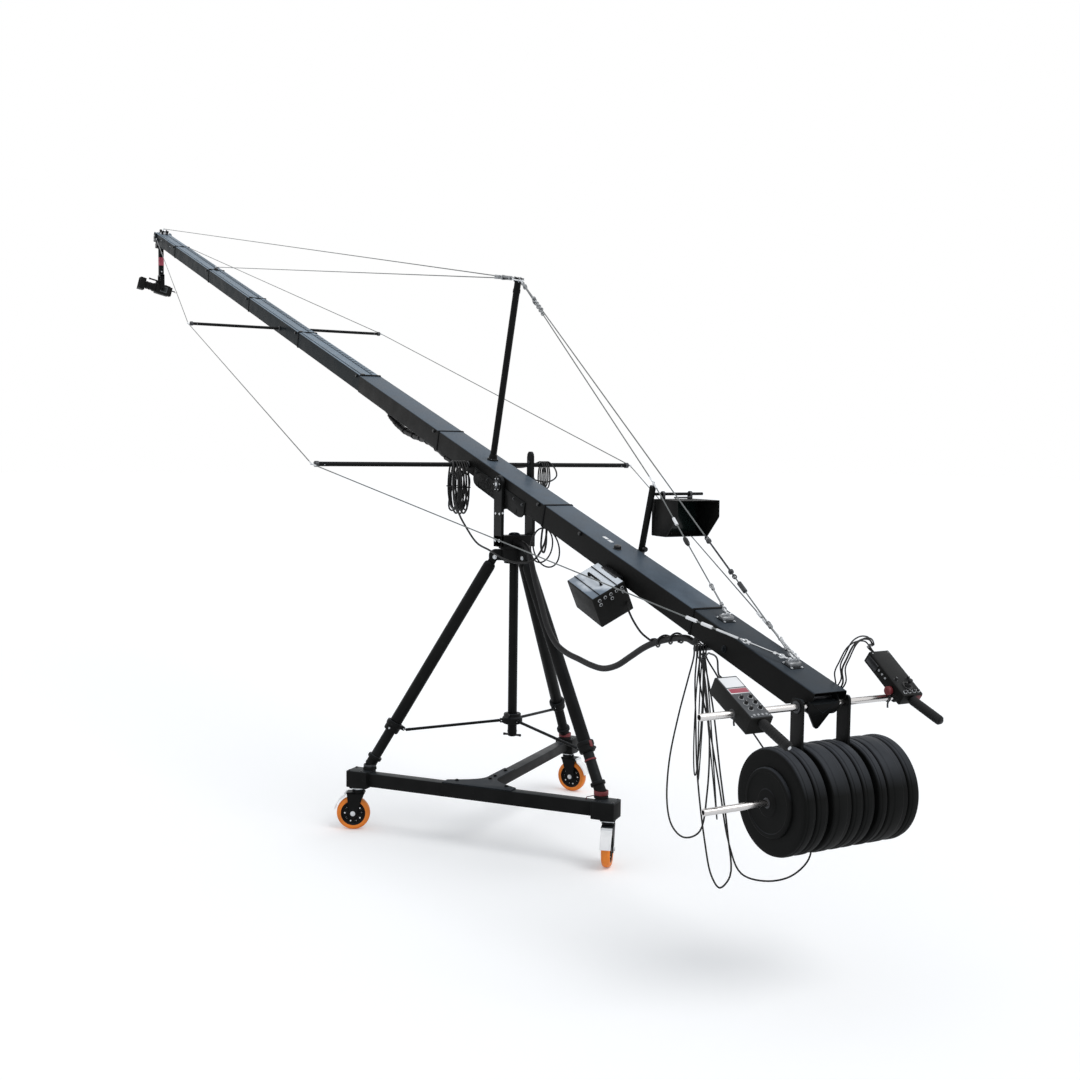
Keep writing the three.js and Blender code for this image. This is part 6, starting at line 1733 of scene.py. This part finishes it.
# Camera head
def head():
    mount = Piece("head_mount_dressed", HEAD, "levelling_head", "head_mount")
    mount.add("frame_black", rod((0, -44, 0), (0, 44, 0), 39.6, 56, 3))
    mount.add("zinc", rod((0, -56.3, 0), (0, 56.3, 0), 11.8, 28, 1.5))
    mount.add("frame_black", block(-23, 23, -43, 43, -68, 0, 3))
    mount.add("case_black", block(-34, 62, -55, 55, -119.7, -64, 6, 3))
    mount.add("dark_steel", block(-20, 50, -56, 56, -110, -76, 2))
    for x in (-26, 54):
        for y in (-46, 46):
            mount.bolt("zinc", (x, y, -64.5), (0, 0, 1), 4, 3, 0.8)
    for y in (-20, 20):
        mount.add("zinc", rod((55, y, -90), (62, y, -90), 8, 24, 0.8))
    mount.done()
    post = Piece("head_post_dressed", HEAD, "pan_post", "head_post")
    top = -120.3
    flange = [(0, -18), (30, -18), (36, -14), (36, -4), (34, 0), (0, 0)]
    post.add("dark_steel", turned([(radius, top + z) for radius, z in flange], 48, 1.5))
    post.add("frame_black", block(-27, 27, -27, 27, -440, top - 16, 4, 3))
    post.add("red_strip", block(-27.6, 27.6, -27.6, 27.6, -330, -232, 3, 3))
    post.add("frame_black", block(-70, 70, -25, 25, -462, -436, 4, 3))
    arm = [(-25, -444), (25, -444), (25, -CAMERA_DROP)] + arc(0, -CAMERA_DROP, 25, 0, -180, 20)
    for way in (-1, 1):
        post.add("frame_black", plate(arm, *span(way, 58, 70), "yz", 0, 1.5))
        post.add("zinc", rod((way * 69, 0, -CAMERA_DROP), (way * 70, 0, -CAMERA_DROP), 8.6, 24, 0.3))
    for z in (-180, -400):
        post.bolt("zinc", (-27, 0, z), (-1, 0, 0), 5, 3, 1)
    post.done()


def film_camera():
    piece = Piece("camera_dressed", CAMERA, "camera_unit", "camera")
    front = -92 + 165
    piece.add("case_black", block(-56, 56, -92, front, -59, 59, 10, 4))
    piece.add("panel_gray", block(-56.6, -50, -60, front - 50, -34, 38, 3))
    piece.add("screen_dark", block(-57, -50, -52, front - 70, -26, 30, 2))
    lens = [(0, front - 8), (40, front - 8), (40, front + 14), (44, front + 18)]
    for k in range(3):
        near = front + 24 + k * 34
        lens += [(44, near), (46, near + 2), (46, near + 18), (42, near + 20), (42, near + 24)]
    mouth = [(37, 128), (44, 131), (52, 150), (52, 196), (48, 196), (40, 140), (0, 138)]
    lens += [(radius, front + y) for radius, y in mouth]
    forward = turn_x(-90)
    piece.add("case_black", turned(lens, 56, 1.2), turn=forward)
    glass = [(0, 141), (20, 140), (39, 136), (39, 130), (0, 130)]
    piece.add("lens_glass", turned([(radius, front + y) for radius, y in glass], 48, 1), turn=forward)
    hood = [(-58, front + 128), (58, front + 128), (69.5, front + 196), (-69.5, front + 196)]
    for low, high in ((62, 68), (-68, -62)):
        piece.add("case_black", plate(hood, low, high, "xy", 4, 1))
    for way in (-1, 1):
        wing = [(way * 52, front + 130), (way * 58, front + 130), (way * 69.5, front + 194),
                (way * 63.5, front + 194)]
        piece.add("case_black", plate(wing, -64, 64, "xy", 0, 1))
    piece.add("case_black", turned(band(front + 126, front + 134, 46, 66), 56, 1.2, True), turn=forward)
    piece.add("case_black", block(-46, 46, front - 4, front + 34, -46, 46, 8, 3))
    piece.add("case_black", block(-30, 34, front - 60, front + 6, 56, 84, 6, 3))
    piece.add("dark_steel", rod((40, front + 52, 0), (62, front + 52, 0), 22, 32, 2))
    piece.add("case_black", block(-44, 44, -118, -90, -52, 52, 5, 3))
    piece.add("zinc", rod((-70, 0, 0), (70, 0, 0), 8.6, 24, 1))
    handle = [(0, 62, 56), (0, 62, 86), (0, 160, 86)]
    piece.add("grip_rubber", sweep(soften(handle, 16, False, 5), 9, 16))
    piece.add("knob_black", rod((0, 150, 86), (0, 168, 86), 11, 24, 3))
    piece.add("dark_steel", rod((0, -188, 20), (0, -86, 20), 7, 20, 1))
    piece.add("bright_steel", rod((0, -188, 20), (0, -160, 20), 11.6, 24, 2))
    piece.add("knob_black", rod((0, -120, 20), (0, -92, 20), 11, 24, 2))
    piece.add("case_black", block(-30, 30, -100, -88, -45, 45, 4))
    for x in (-30, 0, 30):
        piece.add("knob_black", rod((x, -40, 58), (x, -40, 64), 7, 20, 1))
    piece.done()


head()
film_camera()


# Floor, lights and background
def stage_floor():
    data = bpy.data.meshes.new("floor")
    reach = 90
    data.from_pydata([(-reach, -reach, 0), (reach, -reach, 0), (reach, reach, 0), (-reach, reach, 0)],
                     [], [(0, 1, 2, 3)])
    made = new_object("floor", data)
    material = bpy.data.materials.new("floor_white")
    material.use_nodes = True
    tree = material.node_tree
    links = tree.links
    shader = tree.nodes["Principled BSDF"]
    shader.inputs["Base Color"].default_value = (0.93, 0.93, 0.93, 1)
    shader.inputs["Roughness"].default_value = 1
    shader.inputs["Specular IOR Level"].default_value = 0
    lift = new_node(tree, "Emission", Color=(1, 1, 1, 1), Strength=0.16)
    total = new_node(tree, "AddShader")
    links.new(shader.outputs["BSDF"], total.inputs[0])
    links.new(lift.outputs["Emission"], total.inputs[1])
    pick = new_node(tree, "MixShader")
    path = new_node(tree, "LightPath")
    links.new(path.outputs["Is Camera Ray"], pick.inputs["Fac"])
    links.new(shader.outputs["BSDF"], pick.inputs[1])
    links.new(total.outputs["Shader"], pick.inputs[2])
    links.new(pick.outputs["Shader"], tree.nodes["Material Output"].inputs["Surface"])
    data.materials.append(material)


def sky():
    world = bpy.data.worlds.new("studio")
    bpy.context.scene.world = world
    world.use_nodes = True
    tree = world.node_tree
    links = tree.links
    lighting = tree.nodes["Background"]
    lighting.inputs["Color"].default_value = (0.93, 0.96, 1.0, 1)
    lighting.inputs["Strength"].default_value = 0.72
    white = new_node(tree, "Background", Color=(1, 1, 1, 1), Strength=1)
    path = new_node(tree, "LightPath")
    seen = path.outputs["Is Camera Ray"]
    for kind in ("Glossy", "Transmission"):
        larger = new_node(tree, "Math")
        larger.operation = "MAXIMUM"
        links.new(seen, larger.inputs[0])
        links.new(path.outputs[f"Is {kind} Ray"], larger.inputs[1])
        seen = larger.outputs["Value"]
    pick = new_node(tree, "MixShader")
    links.new(seen, pick.inputs["Fac"])
    links.new(lighting.outputs["Background"], pick.inputs[1])
    links.new(white.outputs["Background"], pick.inputs[2])
    links.new(pick.outputs["Shader"], tree.nodes["World Output"].inputs["Surface"])


def lamps():
    sun_data = bpy.data.lights.new("soft_sun", "SUN")
    sun_data.energy = 1.0
    sun_data.angle = math.radians(35)
    sun = new_object("soft_sun", sun_data)
    sun.rotation_euler = (math.radians(28), math.radians(-20), math.radians(-30))


stage_floor()
sky()
lamps()
bpy.context.scene.view_settings.view_transform = "Standard"
